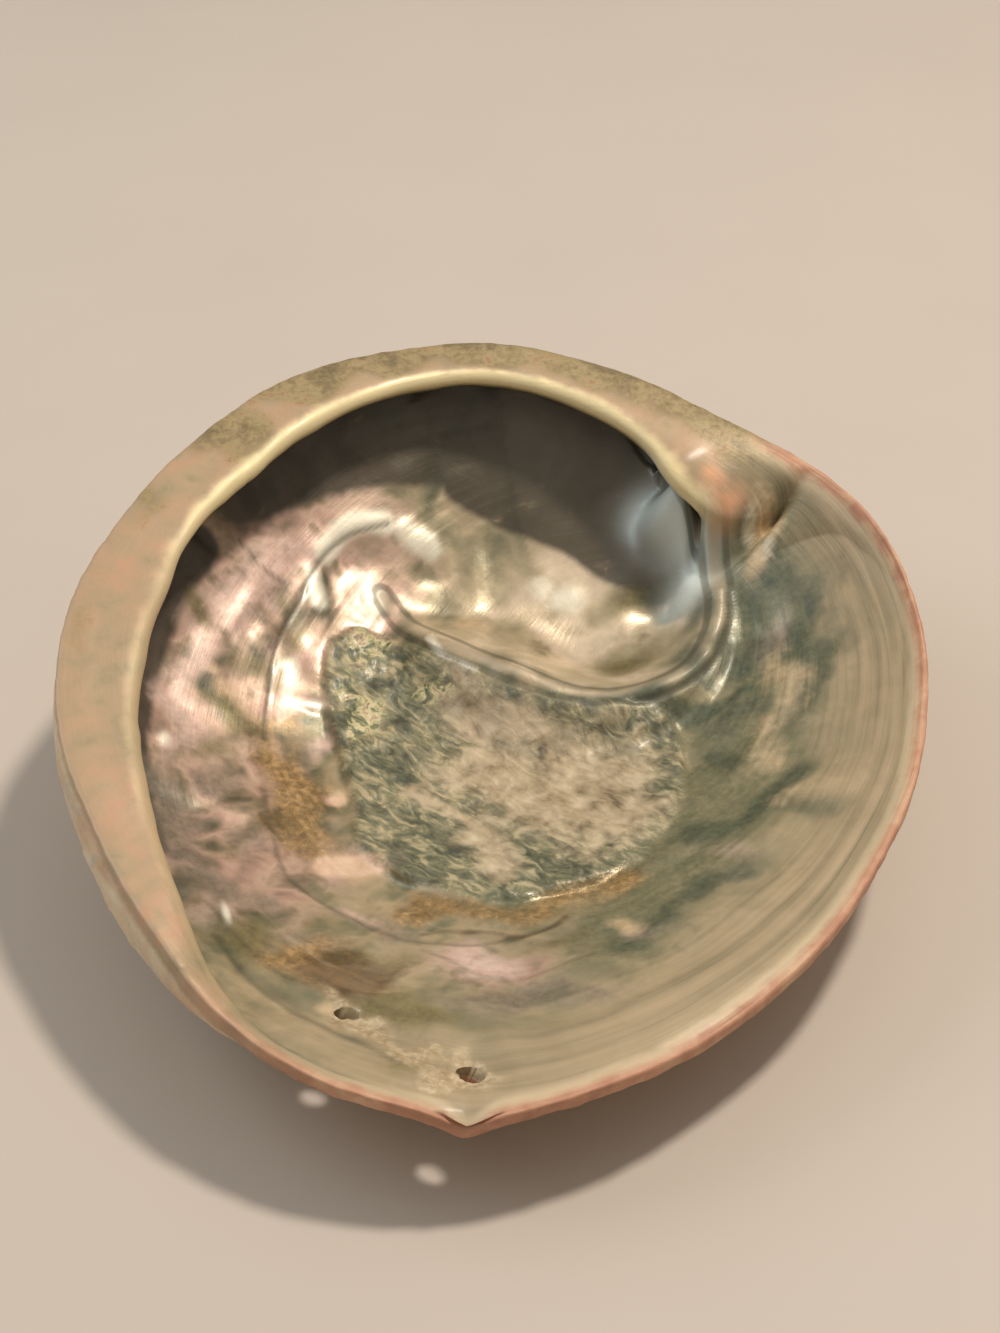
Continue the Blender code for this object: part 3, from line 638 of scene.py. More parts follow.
zones = {
    "rosy": {  # the pinkish side of the bowl
        "paths": [([(-44, 104), (-60, 76), (-62, 44), (-52, 12)], 26.0, 1.0)],
        "spots": [(-30, 96, 20, 16, 0, 0.8), (0, -24, 18, 7, 0, 0.6)],
    },
    "cavity": {  # painted shade and cast shadow under the shelf, on the far wall and along the left wall
        "paths": [
            ([(40, 101), (31, 111), (16, 121), (-8, 126), (-32, 121), (-48, 112), (-60, 102)], 10.0, 1.0),
            ([(36, 116), (14, 130), (-14, 134), (-42, 124), (-62, 106)], 16.0, 1.0),
            ([(39, 97), (30, 103), (20, 110), (8, 115), (-6, 121)], 8.0, 1.0),
            ([(-63, 88), (-71, 66), (-73, 34), (-66, 8)], 5.0, 0.8)],
        "spots": [],
    },
    "slate": {  # greyer pearl
        "paths": [([(-66, 26), (-60, 12), (-58, 2)], 6.0, 0.8)],
        "spots": [
            (-56, 30, 8, 7, 0, 0.8), (-49, 17, 7, 6, 0, 0.6), (6, -33, 17, 5, 0, 0.8),
            (-20, -8, 13, 4, -25, 0.6), (-16, -44, 14, 5, -25, 0.4), (-43, -2, 6, 6, 0, 0.7),
            (-52, -2, 6, 10, 20, 0.8), (-37, -14, 8, 5, -30, 0.7)],
    },
    "blush": {  # pink pearl
        "paths": [
            ([(-43, 98), (-52, 86), (-57, 78)], 5.5, 1.0), ([(-62, 71), (-65, 56), (-64, 44)], 4.5, 0.9)],
        "spots": [
            (-44, 69, 5, 7, 0, 1.0), (-54, 74, 4.5, 6, 0, 1.0), (-62, 66, 4, 5, 0, 1.0),
            (-44, 97, 5, 4, 30, 1.0), (-54, 84, 4, 6, 30, 1.0), (-57, 50, 5, 3, 0, 0.8),
            (-38, 59, 5, 2.6, 0, 0.9), (-35, 47, 3.5, 8, -10, 0.8), (-2, -21, 12, 5.5, -4, 1.0),
            (-26, -7, 7, 3, -25, 0.7), (-51, -12, 4, 6, 20, 0.9), (28, -15, 5, 3, 0, 0.7),
            (-67, 39, 3, 5, 0, 0.9), (46, 6, 9, 5.5, -10, 0.4), (61, 69, 6, 9, 0, 0.55),
            (-9, -54, 8, 4, 0, 0.5)],
    },
    "olive": {
        "paths": [([(-52, 64), (-46, 66), (-43, 78)], 3.0, 0.7)],
        "spots": [
            (-51, 51, 10, 5, -10, 1.0), (-62, 75, 4, 5, 0, 0.8), (33, 91, 6, 4, 0, 0.8),
            (-14, -50, 8, 5, -20, 0.6), (-13, -39, 7, 4.5, 0, 1.0), (-34, -8, 5, 4, 0, 0.6),
            (34, 80, 7, 7, 0, 0.5), (12, -16, 10, 3, 10, 0.6), (-51, 12, 5, 5, 0, 0.5),
            (10, 78, 5, 8, 0, 0.7), (-60, 92, 6, 5, 0, 0.6), (31, 76, 10, 8, 0, 0.8),
            (-58, 64, 5, 4, 0, 0.6), (-46, 84, 3, 6, 20, 0.6), (-57, 40, 6, 4, 0, 0.6),
            (-46, -16, 11, 8, -30, 0.85), (-20, -20, 9, 4, -10, 0.75), (-18, -35, 9, 6, 0, 0.85)],
    },
    "moss": {  # the greener right side
        "paths": [([(57, 92), (59, 76), (58, 60), (54, 44), (46, 26), (36, 6), (24, -12)], 13.0, 1.0)],
        "spots": [(46, 52, 9, 12, 0, 1.0)],
    },
    # darker green nacre; its spots at the pit by the ridge, (40, 88) and (37, 90), are painted shade in that
    # hollow
    "dark": {
        "paths": [
            ([(60, 90), (66, 80), (67, 70), (65, 53), (61, 42)], 5.5, 0.9),
            ([(71, 86), (74, 74), (73, 60)], 3.5, 0.5),
            ([(24, 54), (34, 55.5), (45, 55), (54, 56)], 3.6, 1.0),
            ([(40, 14), (50, 18), (60, 26)], 5.0, 0.95), ([(25, -18), (36, -8), (46, 0)], 4.2, 0.85),
            ([(-56, 0), (-50, -14), (-44, -27), (-34, -38), (-24, -45)], 2.4, 0.55)],
        "spots": [
            (43, 66, 8, 7, 0, 1.0), (30, 53, 7, 4, 0, 1.0), (56, 67, 9, 9, 0, 1.0), (57, 80, 6, 7, 0, 0.9),
            (54, 97, 3, 5, 20, 0.9), (61, 15, 7, 6, 30, 0.8), (48, 2, 6, 4, 20, 0.7),
            (45, 84, 4.5, 9, 0, 0.95), (37, 90, 4, 4, 0, 0.5), (53, 70, 8, 11, 0, 0.9),
            (46, 40, 7, 9, 20, 0.9), (52, 50, 9, 7, 10, 0.8), (55, 83, 5, 6, 0, 0.9),
            (-34, -32, 4, 3, 0, 0.6), (-56, -2, 4, 8, 20, 0.5), (40, 88, 5, 4, 0, 1.0),
            (-66, 30, 3, 10, 0, 0.5), (36, 3, 8, 3, 25, 0.6), (20, -12, 10, 3, 10, 0.4),
            (-22, 84, 6, 3, 40, 0.7), (-29, 34, 2, 6, 0, 0.6)],
    },
    "gold": {
        "paths": [
            ([(-46, 43), (-41, 36), (-38, 24), (-37, 15)], 7.5, 1.0),
            ([(-16, -3), (-4, -5), (10, -4), (19, 1), (26, 5)], 4.2, 0.9)],
        "spots": [(-34, -21, 8, 8, -30, 1.0), (-45, 52, 5, 3, 0, 0.6)],
    },
    "brown": {
        "paths": [([(-12, -11), (0, -12.5), (13, -9)], 1.2, 0.5), ([(-46, 31), (-42, 18)], 1.6, 0.5)],
        "spots": [(-26, -25, 10, 7.5, -30, 1.0), (11, 78, 3, 5, 0, 0.6), (-35, 28, 5, 7, 0, 0.4)],
    },
    "cream": {
        "paths": [
            ([(62, 60), (61, 48), (55, 37)], 5.5, 0.6), ([(-60, 60), (-55, 56), (-49, 55)], 2.6, 0.5)],
        "spots": [
            (-25.5, 11.6, 8, 4.5, -6, 1.0), (-31.5, 31.6, 3.5, 3, 30, 0.9), (-4, 88, 7, 5, 30, 0.7),
            (25, -13, 5, 2.6, 0, 0.9), (62, 19, 9, 6, 30, 0.5), (59, 98, 4, 5, 20, 0.9),
            (59, 90, 3, 6, 10, 0.8), (-30, -34, 4, 3, 0, 0.8)],
    },
    "crust": {  # pale crust by the holes and at the notch
        "paths": [
            ([(-30, -30), (-26, -35), (-20, -38)], 2.2, 0.8),
            ([(-23, -40), (-18, -46), (-12, -49)], 2.2, 0.8)],
        "spots": [(-24, -38, 5, 4, -30, 1.0), (-7, -55, 7, 5, 0, 1.0), (-9, -50, 5, 4, 0, 0.6)],
    },
    "bead": {  # the pinkish oval by the scar
        "paths": [([(-32, 10.5), (-19, 12.5)], 3.6, 1.0)],
        "spots": [(-31.5, 31.6, 3.2, 2.6, 30, 0.7)],
    },
    "shine": {  # painted highlights on the pearl; the relief also raises small lumps here
        "paths": [
            ([(-38, 98), (-32, 106), (-24, 108)], 3.0, 0.9), ([(-20, 107.5), (-14, 105.5)], 3.6, 1.0),
            ([(-40, 93), (-38, 86)], 2.6, 0.8), ([(-13, 78), (-10, 72), (-3, 66)], 1.2, 0.9)],
        "spots": [
            (-25.8, 91, 3.0, 4.5, 0, 1.0), (18, 94, 5, 4, 0, 1.0), (12, 97, 4, 4, 0, 0.7),
            (-43, 68, 2.6, 3, 0, 0.8), (57, 98, 2.4, 3, 0, 0.7), (61, 93, 1.8, 3.5, 0, 0.6),
            (55, 91, 1.4, 2.4, 0, 0.5), (-37, 59.5, 3, 1.6, 0, 0.8), (-67, 38.5, 1.6, 3, 0, 0.8),
            (-50, -9, 1.0, 4, 15, 0.9)],
    },
    "pale": {  # painted bluish reflection on the wall inside the ridge
        "paths": [([(35, 110), (42, 102), (46, 96), (44, 90)], 5.0, 1.0)],
        "spots": [],
    },
    "flecks": {
        "paths": [],
        "spots": [
            (-27, 76, 8, 7, 30, 1.0), (-28, 58, 6, 9, 0, 0.9), (-14, 64, 8, 5, -20, 0.8),
            (-10, 50, 6, 4, 0, 0.5)],
    },
    "stain": {  # brown and green crust on the shelf's outer half
        "paths": [([(60, 111), (47, 120), (25, 133.5), (-1, 139.5), (-27, 134), (-49, 119)], 6.5, 1.0)],
        "spots": [(-60, 105, 12, 9, -45, 1.0), (-75, 80, 5, 9, 0, 0.6), (-82, 40, 3, 20, 0, 0.4)],
    },
    "ember": {  # the orange end of the shelf's edge
        "paths": [([(47, 105), (51, 101)], 1.8, 1.0)],
        "spots": [(52, 100, 3.6, 2.6, 30, 1.0)],
    },
    "chalk": {  # the paler part of the scar
        "paths": [([(-8, 62), (4, 52), (16, 46)], 6.0, 0.7), ([(-14, 36), (-4, 22), (4, 6)], 3.0, 0.6)],
        "spots": [(20, 33, 17, 20, 0, 1.0), (3, 40, 13, 11, 0, 0.95), (-2, 20, 9, 10, 0, 0.5)],
    },
    "lines": {  # dark hair lines cut into the floor
        "paths": [
            ([(-24, 108), (-32.3, 103.5), (-38.6, 96), (-42.4, 85), (-46.4, 73.7), (-47.4, 61),
              (-47.4, 48)], 0.6, 0.85),
            ([(-46, 30), (-41, 10), (-36.8, 3), (-28.6, -4.4), (-17.1, -13.5), (-2.3, -15.3),
              (12.7, -10)], 0.6, 0.6), ([(-56, 93), (-51, 89.7), (-46, 88)], 0.5, 0.7),
            ([(-13, -17), (2, -27), (18, -22)], 0.5, 0.4),
            ([(-51, -16), (-44, -27.3), (-34, -37.3), (-25, -44.6), (-16.5, -51.3)], 0.6, 0.5),
            ([(-54, -6), (-47, -16), (-40, -24), (-33, -29)], 0.5, 0.5)],
        "spots": [],
    },
}


def zoneStrength(zone, right, away):
    total = np.zeros(np.shape(right))
    for points, width, strength in zone["paths"]:
        distance, _, _ = nearestOnPath(right, away, smoothPath(points, 4))
        total = np.maximum(total, strength * bump(distance, width))
    for placeRight, placeAway, wide, deep, turn, strength in zone["spots"]:
        turn = math.radians(turn)
        offRight = right - placeRight
        offAway = away - placeAway
        along = (offRight * math.cos(turn) + offAway * math.sin(turn)) / wide
        across = (offAway * math.cos(turn) - offRight * math.sin(turn)) / deep
        total = np.maximum(total, strength * np.exp(-along ** 2 - across ** 2))
    return total


fieldShape = {
    "firm": ("lines", "pale", "cavity", "ember", "shine", "bead"),  # zones whose edges don't wander
    "wander": (1.7, 0.5),  # how far the other edges wander, in wide and in narrow waves
    "scarReach": 12.0,
    "crestReach": 14.0,
    "hollowFade": 6.0,
    "flowLength": 95.0,
    "flowRadius": 30.0,
}


def wandered(right, away):  # shifts plan places a little, so that no patch has a smooth edge
    wide, narrow = fieldShape["wander"]
    shiftRight = wide * np.sin(0.29 * away + 1.6 * np.sin(0.13 * right))
    shiftRight = shiftRight + narrow * np.sin(0.61 * away + 0.41 * right)
    shiftAway = wide * np.sin(0.27 * right + 1.4 * np.sin(0.15 * away) + 1.0)
    shiftAway = shiftAway + narrow * np.sin(0.57 * right - 0.37 * away)
    return right + shiftRight, away + shiftAway


def insetRows(rows):  # length along each column from the rim's outer edge, positive to the inside
    lengths = lengthsAlong(rows)
    edge = mesh["outerRows"] - 1
    return lengths - lengths[:, edge:edge + 1]


def surfaceFields(points, inset, shelf, across):
    right, away = points[:, 0], points[:, 1]
    swing = np.radians(planAngle(right, away, spire["tip"]))
    grown = growthPosition(right, away)
    path = smoothPath(ridge["path"], mesh["ridgePoints"])
    distance, side, met = nearestOnPath(right, away, path)
    fields = {}
    for name, zone in zones.items():
        place = (right, away) if name in fieldShape["firm"] else wandered(right, away)
        fields[name] = zoneStrength(zone, *place) * (inset > 0)
    fields["inset"] = inset
    fields["shelf"] = shelf
    fields["across"] = np.clip(across, -1, 2)
    scarReach, crestReach = fieldShape["scarReach"], fieldShape["crestReach"]
    scarInset = np.clip(scarDistance(right, away), -scarReach, scarReach)
    fields["scar"] = np.where(inset > 0, scarInset, -scarReach)
    fields["crest"] = np.where(inset > 0, np.clip(distance, 0, crestReach), crestReach)
    fades, ends = ridge["hollowEnds"]
    hollow = ease(distance * side / fieldShape["hollowFade"] + 0.3) * ease((ends - met) / (ends - fades))
    fields["hollow"] = hollow * (inset > 0)
    flowRight, flowAway = fieldShape["flowRadius"] * np.cos(swing), fieldShape["flowRadius"] * np.sin(swing)
    return fields, np.stack([grown * fieldShape["flowLength"], flowRight, flowAway], -1)


def plugMesh(name):  # an oval plug, one unit long and wide, narrower toward the inside
    wide, narrow = holes["taper"]
    plug = bmesh.new()
    sides = holes["cutterSides"]
    bmesh.ops.create_cone(plug, cap_ends=True, segments=sides, radius1=wide, radius2=narrow, depth=1.0)
    data = bpy.data.meshes.new(name)
    plug.to_mesh(data)
    plug.free()
    return data


def holeFrame(index):
    angle, fraction = holes["row"][index]
    wall = outerWall(np.array([angle - 1, angle, angle + 1]), mesh["wallSamples"])
    inward = inwardNormals(wall)[1]
    wall = wall[1]
    nearest = np.hypot(*(wall[:, :2] - rowPoint(angle, fraction)).T).argmin()
    upward = (Vector(inward[nearest]) + Vector(holes["lean"])).normalized()
    centre = Vector(wall[nearest])
    nextPoint = Vector((*rowPoint(*holes["row"][index + 1]), centre.z))
    along = nextPoint - centre
    along = (along - upward * along.dot(upward)).normalized()
    turned = Matrix((along, upward.cross(along), upward)).transposed().to_4x4()
    size = Matrix.Diagonal((holes["length"], holes["width"], holes["cutterLength"], 1.0))
    return Matrix.Scale(metresPerMm, 4) @ Matrix.Translation(centre) @ turned @ size


def plainMesh(item, name):  # the evaluated object as a mesh of its own
    bpy.context.view_layer.update()
    graph = bpy.context.evaluated_depsgraph_get()
    data = bpy.data.meshes.new_from_object(item.evaluated_get(graph), depsgraph=graph)
    data.name = name
    return data


def openHoles(item):
    plugs = []
    for index in range(holes["open"]):
        plug = linkObject(f"plug{index}", plugMesh(f"plug{index}"))
        plug.matrix_world = shellPlace @ holeFrame(index)
        cut = item.modifiers.new(plug.name, "BOOLEAN")
        cut.operation = "DIFFERENCE"
        cut.solver = "EXACT"
        cut.object = plug
        plugs.append(plug)
    item.data = plainMesh(item, "shellCut")
    item.modifiers.clear()
    for plug in plugs:
        bpy.data.objects.remove(plug)


def makeShell():
    angles = np.linspace(0, 360, mesh["columns"], endpoint=False)
    rows = closedRows(angles)
    begins, full = rim["shelfColourStart"]
    low, high = rim["shelfColourSide"]
    coloured = np.where((angles > low) & (angles < high), ease((angles - begins) / (full - begins)), 1.0)
    shelf = np.repeat((shelfPart(angles) * coloured)[:, None], rows.shape[1], 1)
    steps = columnSteps(rows)
    points, faces = joinRows(rows, steps)
    across = np.arange(rows.shape[1]) - (mesh["outerRows"] - 1)
    across = np.repeat(across[None, :] / (mesh["topSteps"] * mesh["topSpans"]), rows.shape[0], 0)
    extra = joinRows(np.stack([insetRows(rows), shelf, across], -1), steps)[0]
    place = np.array(shellPlace)
    world = points * metresPerMm @ place[:3, :3].T + place[:3, 3]
    world[:, 2] = np.maximum(world[:, 2], 0.0)  # the back is worn flat where it rests
    data = bpy.data.meshes.new("shellRows")
    data.from_pydata(world.tolist(), [], faces)
    item = linkObject("abaloneShell", data)
    openHoles(item)
    fields, flow = surfaceFields(points, *extra.T)
    storeFields(item.data, world, fields, flow)
    return item


def storeFields(data, world, fields, flow):  # each point takes those of the nearest point before the holes
    tree = kdtree.KDTree(len(world))
    for index, place in enumerate(world.tolist()):
        tree.insert(place, index)
    tree.balance()
    nearest = np.array([tree.find(point.co)[1] for point in data.vertices])
    for name, values in fields.items():
        layer = data.attributes.new(name, "FLOAT", "POINT")
        layer.data.foreach_set("value", values[nearest].astype(np.float32))
    layer = data.attributes.new("flow", "FLOAT_VECTOR", "POINT")
    layer.data.foreach_set("vector", flow[nearest].astype(np.float32).ravel())


shell = makeShell()
print("shell mesh has", len(shell.data.polygons), "faces")


# Node trees, for relief and for colour


class Field:  # one socket, worked on as a number
    def __init__(self, tree, socket):
        self.tree = tree
        self.socket = socket

    def maths(self, operation, first, second):
        return self.tree.add("ShaderNodeMath", {"operation": operation}, {0: first, 1: second})

    def __add__(self, other):
        return self.maths("ADD", self, other)

    def __radd__(self, other):
        return self.maths("ADD", other, self)

    def __sub__(self, other):
        return self.maths("SUBTRACT", self, other)

    def __rsub__(self, other):
        return self.maths("SUBTRACT", other, self)

    def __mul__(self, other):
        return self.maths("MULTIPLY", self, other)

    def __rmul__(self, other):
        return self.maths("MULTIPLY", other, self)

    def above(self, other):  # the larger of two
        return self.maths("MAXIMUM", self, other)


class Tree:  # adds nodes of any kind to one node tree
    def __init__(self, nodeTree):
        self.nodes = nodeTree.nodes
        self.links = nodeTree.links

    def add(self, kind, settings=None, inputs=None, output=0):
        node = self.nodes.new(kind)
        for name, value in (settings or {}).items():
            if name == "stops":
                self.setStops(node.color_ramp, value)
            else:
                setattr(node, name, value)
        for name, value in (inputs or {}).items():
            self.feed(self.findSocket(node.inputs, name), value)
        return Field(self, self.findSocket(node.outputs, output))

    def findSocket(self, sockets, name):
        if isinstance(name, int):
            return sockets[name]
        for socket in sockets:
            if name in (socket.identifier, socket.name):
                return socket
        return None

    def feed(self, socket, value):
        if isinstance(value, Field):
            self.links.new(value.socket, socket)
        else:
            socket.default_value = value

    def setStops(self, ramp, stops):
        while len(ramp.elements) < len(stops):
            ramp.elements.new(1.0)
        for element, (place, colour) in zip(ramp.elements, stops):
            element.position = place
            element.color = tint(*colour)

    def feedAll(self, node, values):
        for name, value in values.items():
            self.feed(node.inputs[name], value)

    def smooth(self, value, low, high):  # 0 at low, 1 at high, with level ends
        return self.add("ShaderNodeMapRange", {"interpolation_type": "SMOOTHSTEP"},
                        {"Value": value, "From Min": low, "From Max": high})

    def stretch(self, vector, scale):
        return self.add("ShaderNodeVectorMath", {"operation": "MULTIPLY"}, {0: vector, 1: scale})

    def noise(self, vector, size, detail=3.0, roughness=0.5, distortion=0.0, seed=0.0):
        scale = size if isinstance(size, Field) else 1 / size
        return self.add("ShaderNodeTexNoise", {"noise_dimensions": "4D"}, {
            "Vector": vector, "W": seed, "Scale": scale, "Detail": detail, "Roughness": roughness,
            "Distortion": distortion})

    def mix(self, factor, first, second, blend="MIX"):
        return self.add("ShaderNodeMix", {"data_type": "RGBA", "blend_type": blend}, {
            "Factor_Float": factor, "A_Color": first, "B_Color": second}, "Result_Color")

    def ramp(self, value, stops):
        return self.add("ShaderNodeValToRGB", {"stops": stops}, {"Fac": value})


def newMaterial(name):
    material = bpy.data.materials.new(name)
    material.use_nodes = True
    return material, Tree(material.node_tree), material.node_tree.nodes["Principled BSDF"]


# Fine relief, raised along the surface by a node tree

relief = {
    "Fold Height": 1.9,
    "Fold Size": 21.0,
    "Scar Height": 0.65,
    "Scar Grain": 2.6,
    "Growth Height": 0.5,
    "Growth Spacing": 2.4,
    "Crust Height": 0.8,
    "Lip Height": 0.5,
    "Lump Height": 0.6,
    "Ledge Height": 0.9,
    "Knob Height": 2.4,
    "Shelf Wear": 0.35,
    "Line Depth": 0.2,
    "Seed": 7.0,
}


def reliefGroup(material):
    group = bpy.data.node_groups.new("shellRelief", "GeometryNodeTree")
    group.interface.new_socket("Geometry", in_out="INPUT", socket_type="NodeSocketGeometry")
    for name in relief:
        group.interface.new_socket(name, in_out="INPUT", socket_type="NodeSocketFloat")
    group.interface.new_socket("Geometry", in_out="OUTPUT", socket_type="NodeSocketGeometry")
    tree = Tree(group)
    source = group.nodes.new("NodeGroupInput")
    value = {name: Field(tree, source.outputs[name]) for name in relief}

    def field(name, kind="FLOAT"):
        return tree.add("GeometryNodeInputNamedAttribute", {"data_type": kind}, {"Name": name})

    inset, scarField, shelf = field("inset"), field("scar"), field("shelf")
    flow = field("flow", "FLOAT_VECTOR")
    place = tree.stretch(tree.add("GeometryNodeInputPosition"), (1000, 1000, 1000))

    def noise(vector, size, detail, roughness=0.5, distortion=0.0):
        return tree.noise(vector, size, detail, roughness, distortion, value["Seed"]) - 0.5

    def perSize(name):  # a noise's scale from a size that is an input
        return tree.add("ShaderNodeMath", {"operation": "DIVIDE"}, {0: 1.0, 1: value[name]})

    inside = tree.smooth(inset, 6.0, 20.0)
    scarPart = tree.smooth(scarField, -1.0, 1.5)
    calm = 1.0 - field("hollow") * 0.6
    folds = noise(place, perSize("Fold Size"), 1.0, 0.4, 0.8) * value["Fold Height"] * 2.0
    folds = folds * inside * (1.0 - scarPart) * calm
    ledges = noise(tree.stretch(flow, (0.30, 0.045, 0.045)), 1.0, 3.0, 0.55, 0.3)
    ledges = ledges * inside * (1.0 - scarPart) * (1.0 - field("hollow"))
    ledges = ledges * (1.0 - field("rosy") * 0.8) * value["Ledge Height"]
    grains = noise(tree.stretch(place, (1.0, 0.6, 0.8)), perSize("Scar Grain"), 4.0, 0.6, 1.2)
    grains = grains * scarPart * value["Scar Height"] * 2.0
    across = tree.stretch(flow, (1.0, 0.06, 0.06))
    growth = noise(across, perSize("Growth Spacing"), 3.0, 0.6, 0.2) * value["Growth Height"]
    back = tree.smooth(inset, 1.0, -3.0)
    growth = growth * (back + (1.0 - back) * 0.22 * (1.0 - scarPart) * (1.0 - field("hollow")))
    crust = tree.smooth(noise(place, 6.0, 5.0, 0.62, 0.5), 0.02, 0.30) * value["Crust Height"] * back
    edge = tree.smooth(inset, -5.0, -1.0) * tree.smooth(inset, 5.0, 2.0)
    ragged = noise(place, 4.2, 3.0, 0.6) * value["Lip Height"] * edge * 2.0
    worn = noise(place, 3.4, 3.0, 0.6) * tree.smooth(inset, 1.0, 3.0) * tree.smooth(inset, 16.0, 9.0)
    worn = worn * shelf * value["Shelf Wear"]
    lumps = field("shine") * value["Lump Height"]
    knobs = noise(place, 2.4, 3.0, 0.55) * field("crust") * value["Knob Height"]
    hairLines = field("lines") * value["Line Depth"]
    lift = folds + ledges + grains + growth + crust + ragged + worn + lumps + knobs - hairLines
    height = tree.add("GeometryNodeInputPosition")
    height = tree.add("ShaderNodeSeparateXYZ", None, {0: height}, "Z")
    lift = lift * tree.smooth(height, 0.0003, 0.003) * metresPerMm  # the worn flat stays level
    offset = tree.add("ShaderNodeVectorMath", {"operation": "SCALE"},
                      {0: tree.add("GeometryNodeInputNormal"), "Scale": lift})
    shaped = tree.add("GeometryNodeSetPosition", None, {
        "Geometry": Field(tree, source.outputs[0]), "Offset": offset})
    shaped = tree.add("GeometryNodeRealizeInstances", None, {"Geometry": shaped})
    shaped = tree.add("GeometryNodeSetMaterial", None, {"Geometry": shaped, "Material": material})
    tree.feed(group.nodes.new("NodeGroupOutput").inputs[0], shaped)
    return group


sharpAngle = 70.0  # degrees, past which an edge stays sharp


def raiseRelief(item, material):
    group = reliefGroup(material)
    shaping = item.modifiers.new("relief", "NODES")
    shaping.node_group = group
    for socket in group.interface.items_tree:
        if socket.in_out == "INPUT" and socket.name in relief:
            shaping[socket.identifier] = relief[socket.name]
    data = plainMesh(item, "abaloneShell")
    item.modifiers.clear()
    item.data = data
    data.shade_smooth()
    data.set_sharp_from_angle(angle=math.radians(sharpAngle))


# Finish

finish = {
    "rosy": [
        (0.32, (78, 74, 56)), (0.40, (112, 102, 80)), (0.46, (154, 132, 108)), (0.52, (206, 174, 152)),
        (0.57, (190, 154, 136)), (0.63, (138, 120, 100)), (0.70, (94, 88, 68))],
    "sage": [
        (0.30, (74, 80, 58)), (0.40, (112, 112, 86)), (0.48, (152, 142, 110)), (0.56, (184, 164, 130)),
        (0.64, (168, 150, 120)), (0.72, (120, 116, 90))],
    "hollow": [
        (0.30, (150, 136, 108)), (0.46, (196, 178, 146)), (0.58, (226, 204, 176)), (0.74, (184, 172, 142))],
    "matte": [(0.32, (122, 110, 84)), (0.50, (164, 144, 112)), (0.68, (188, 162, 132))],
    "gold": [(0.38, (108, 86, 50)), (0.5, (152, 122, 76)), (0.62, (206, 166, 112))],
    "brown": [(0.38, (74, 58, 32)), (0.6, (116, 90, 52))],
    "olive": [(0.38, (90, 82, 46)), (0.6, (134, 122, 76))],
    "stain": [(0.36, (96, 82, 50)), (0.46, (130, 112, 72)), (0.56, (160, 142, 98)), (0.66, (144, 106, 66))],
    "slate": [(0.38, (104, 94, 80)), (0.5, (134, 120, 104)), (0.62, (160, 144, 128))],
    "blush": [(0.36, (212, 174, 158)), (0.5, (234, 200, 184)), (0.64, (246, 222, 204))],
    "cream": [(0.38, (212, 178, 134)), (0.6, (236, 208, 170))],
    "crust": [(0.38, (134, 114, 84)), (0.5, (176, 154, 120)), (0.6, (212, 192, 158))],
    "bead": [(0.38, (232, 190, 160)), (0.6, (250, 218, 190))],
    # colours of the painted highlight
    "shine": [(0.3, (250, 238, 206)), (0.7, (255, 250, 236))],
    "moss": [(0.38, (100, 102, 76)), (0.5, (126, 122, 92)), (0.62, (150, 140, 108))],
    "dark": [(0.38, (52, 58, 46)), (0.6, (88, 96, 72))],
    "lip": [(0.36, (170, 118, 92)), (0.50, (194, 142, 112)), (0.62, (214, 172, 138))],
    "shelf": [
        (0.32, (150, 136, 104)), (0.44, (174, 150, 118)), (0.56, (184, 152, 121)), (0.68, (195, 150, 119))],
    "back": [
        (0.28, (158, 136, 106)), (0.38, (200, 158, 126)), (0.47, (214, 186, 152)), (0.55, (222, 206, 176)),
        (0.62, (204, 160, 130)), (0.70, (176, 158, 128))],
    "scar": [(0.36, (58, 62, 48)), (0.45, (94, 96, 74)), (0.52, (132, 128, 98)), (0.60, (186, 172, 136))],
    "chalk": [
        (0.34, (120, 102, 76)), (0.45, (168, 148, 118)), (0.56, (196, 176, 146)), (0.68, (216, 198, 168))],
    "flecks": [
        (0.36, (66, 74, 54)), (0.44, (120, 122, 90)), (0.50, (184, 176, 126)), (0.55, (226, 214, 168)),
        (0.61, (198, 168, 136)), (0.68, (108, 114, 86))],
}

# Patches of the inside, in the order they are laid on: zone, how far its edge wanders, where it starts
# and is full, and its strength

patches = [
    ("moss", 0.6, 0.05, 0.9, 0.85), ("slate", 0.8, 0.15, 0.9, 0.8), ("blush", 0.9, 0.15, 1.0, 0.9),
    ("olive", 0.8, 0.15, 0.9, 0.85), ("dark", 0.9, 0.15, 1.0, 0.85), ("gold", 1.1, 0.15, 1.0, 0.95),
    # this row also lays the painted highlight patch
    ("brown", 0.7, 0.2, 0.75, 0.92), ("cream", 0.9, 0.15, 1.0, 0.85), ("shine", 0.4, 0.2, 0.9, 0.9),
    ("bead", 0.3, 0.2, 0.7, 0.9), ("crust", 0.9, 0.3, 0.75, 0.9)]

paint = {  # colour and strength of the smaller marks
    # painted shade and cast shadow under the shelf
    "cavity": ((66, 60, 47), 0.9),
    # painted bluish reflection on the wall inside the ridge
    "pale": ((220, 228, 222), 0.9),
    # dark in the creases beside the ridge's crest: partly painted shade below the overhung crest, partly
    # their own colour
    "creaseTintAndShade": ((70, 66, 50), 0.55),
    "crest": ((196, 176, 152), 0.6),
    "lines": ((62, 56, 42), 0.75),
    # painted highlight along the shelf's rounded inner edge
    "nose": ((244, 226, 176), 0.85),
    "ember": ((234, 172, 128), 0.85),
    "band": ((220, 198, 164), 0.5),
    "chalky": ((184, 178, 160), 0.7),
    "stripe": ((184, 122, 98), 0.6),
}

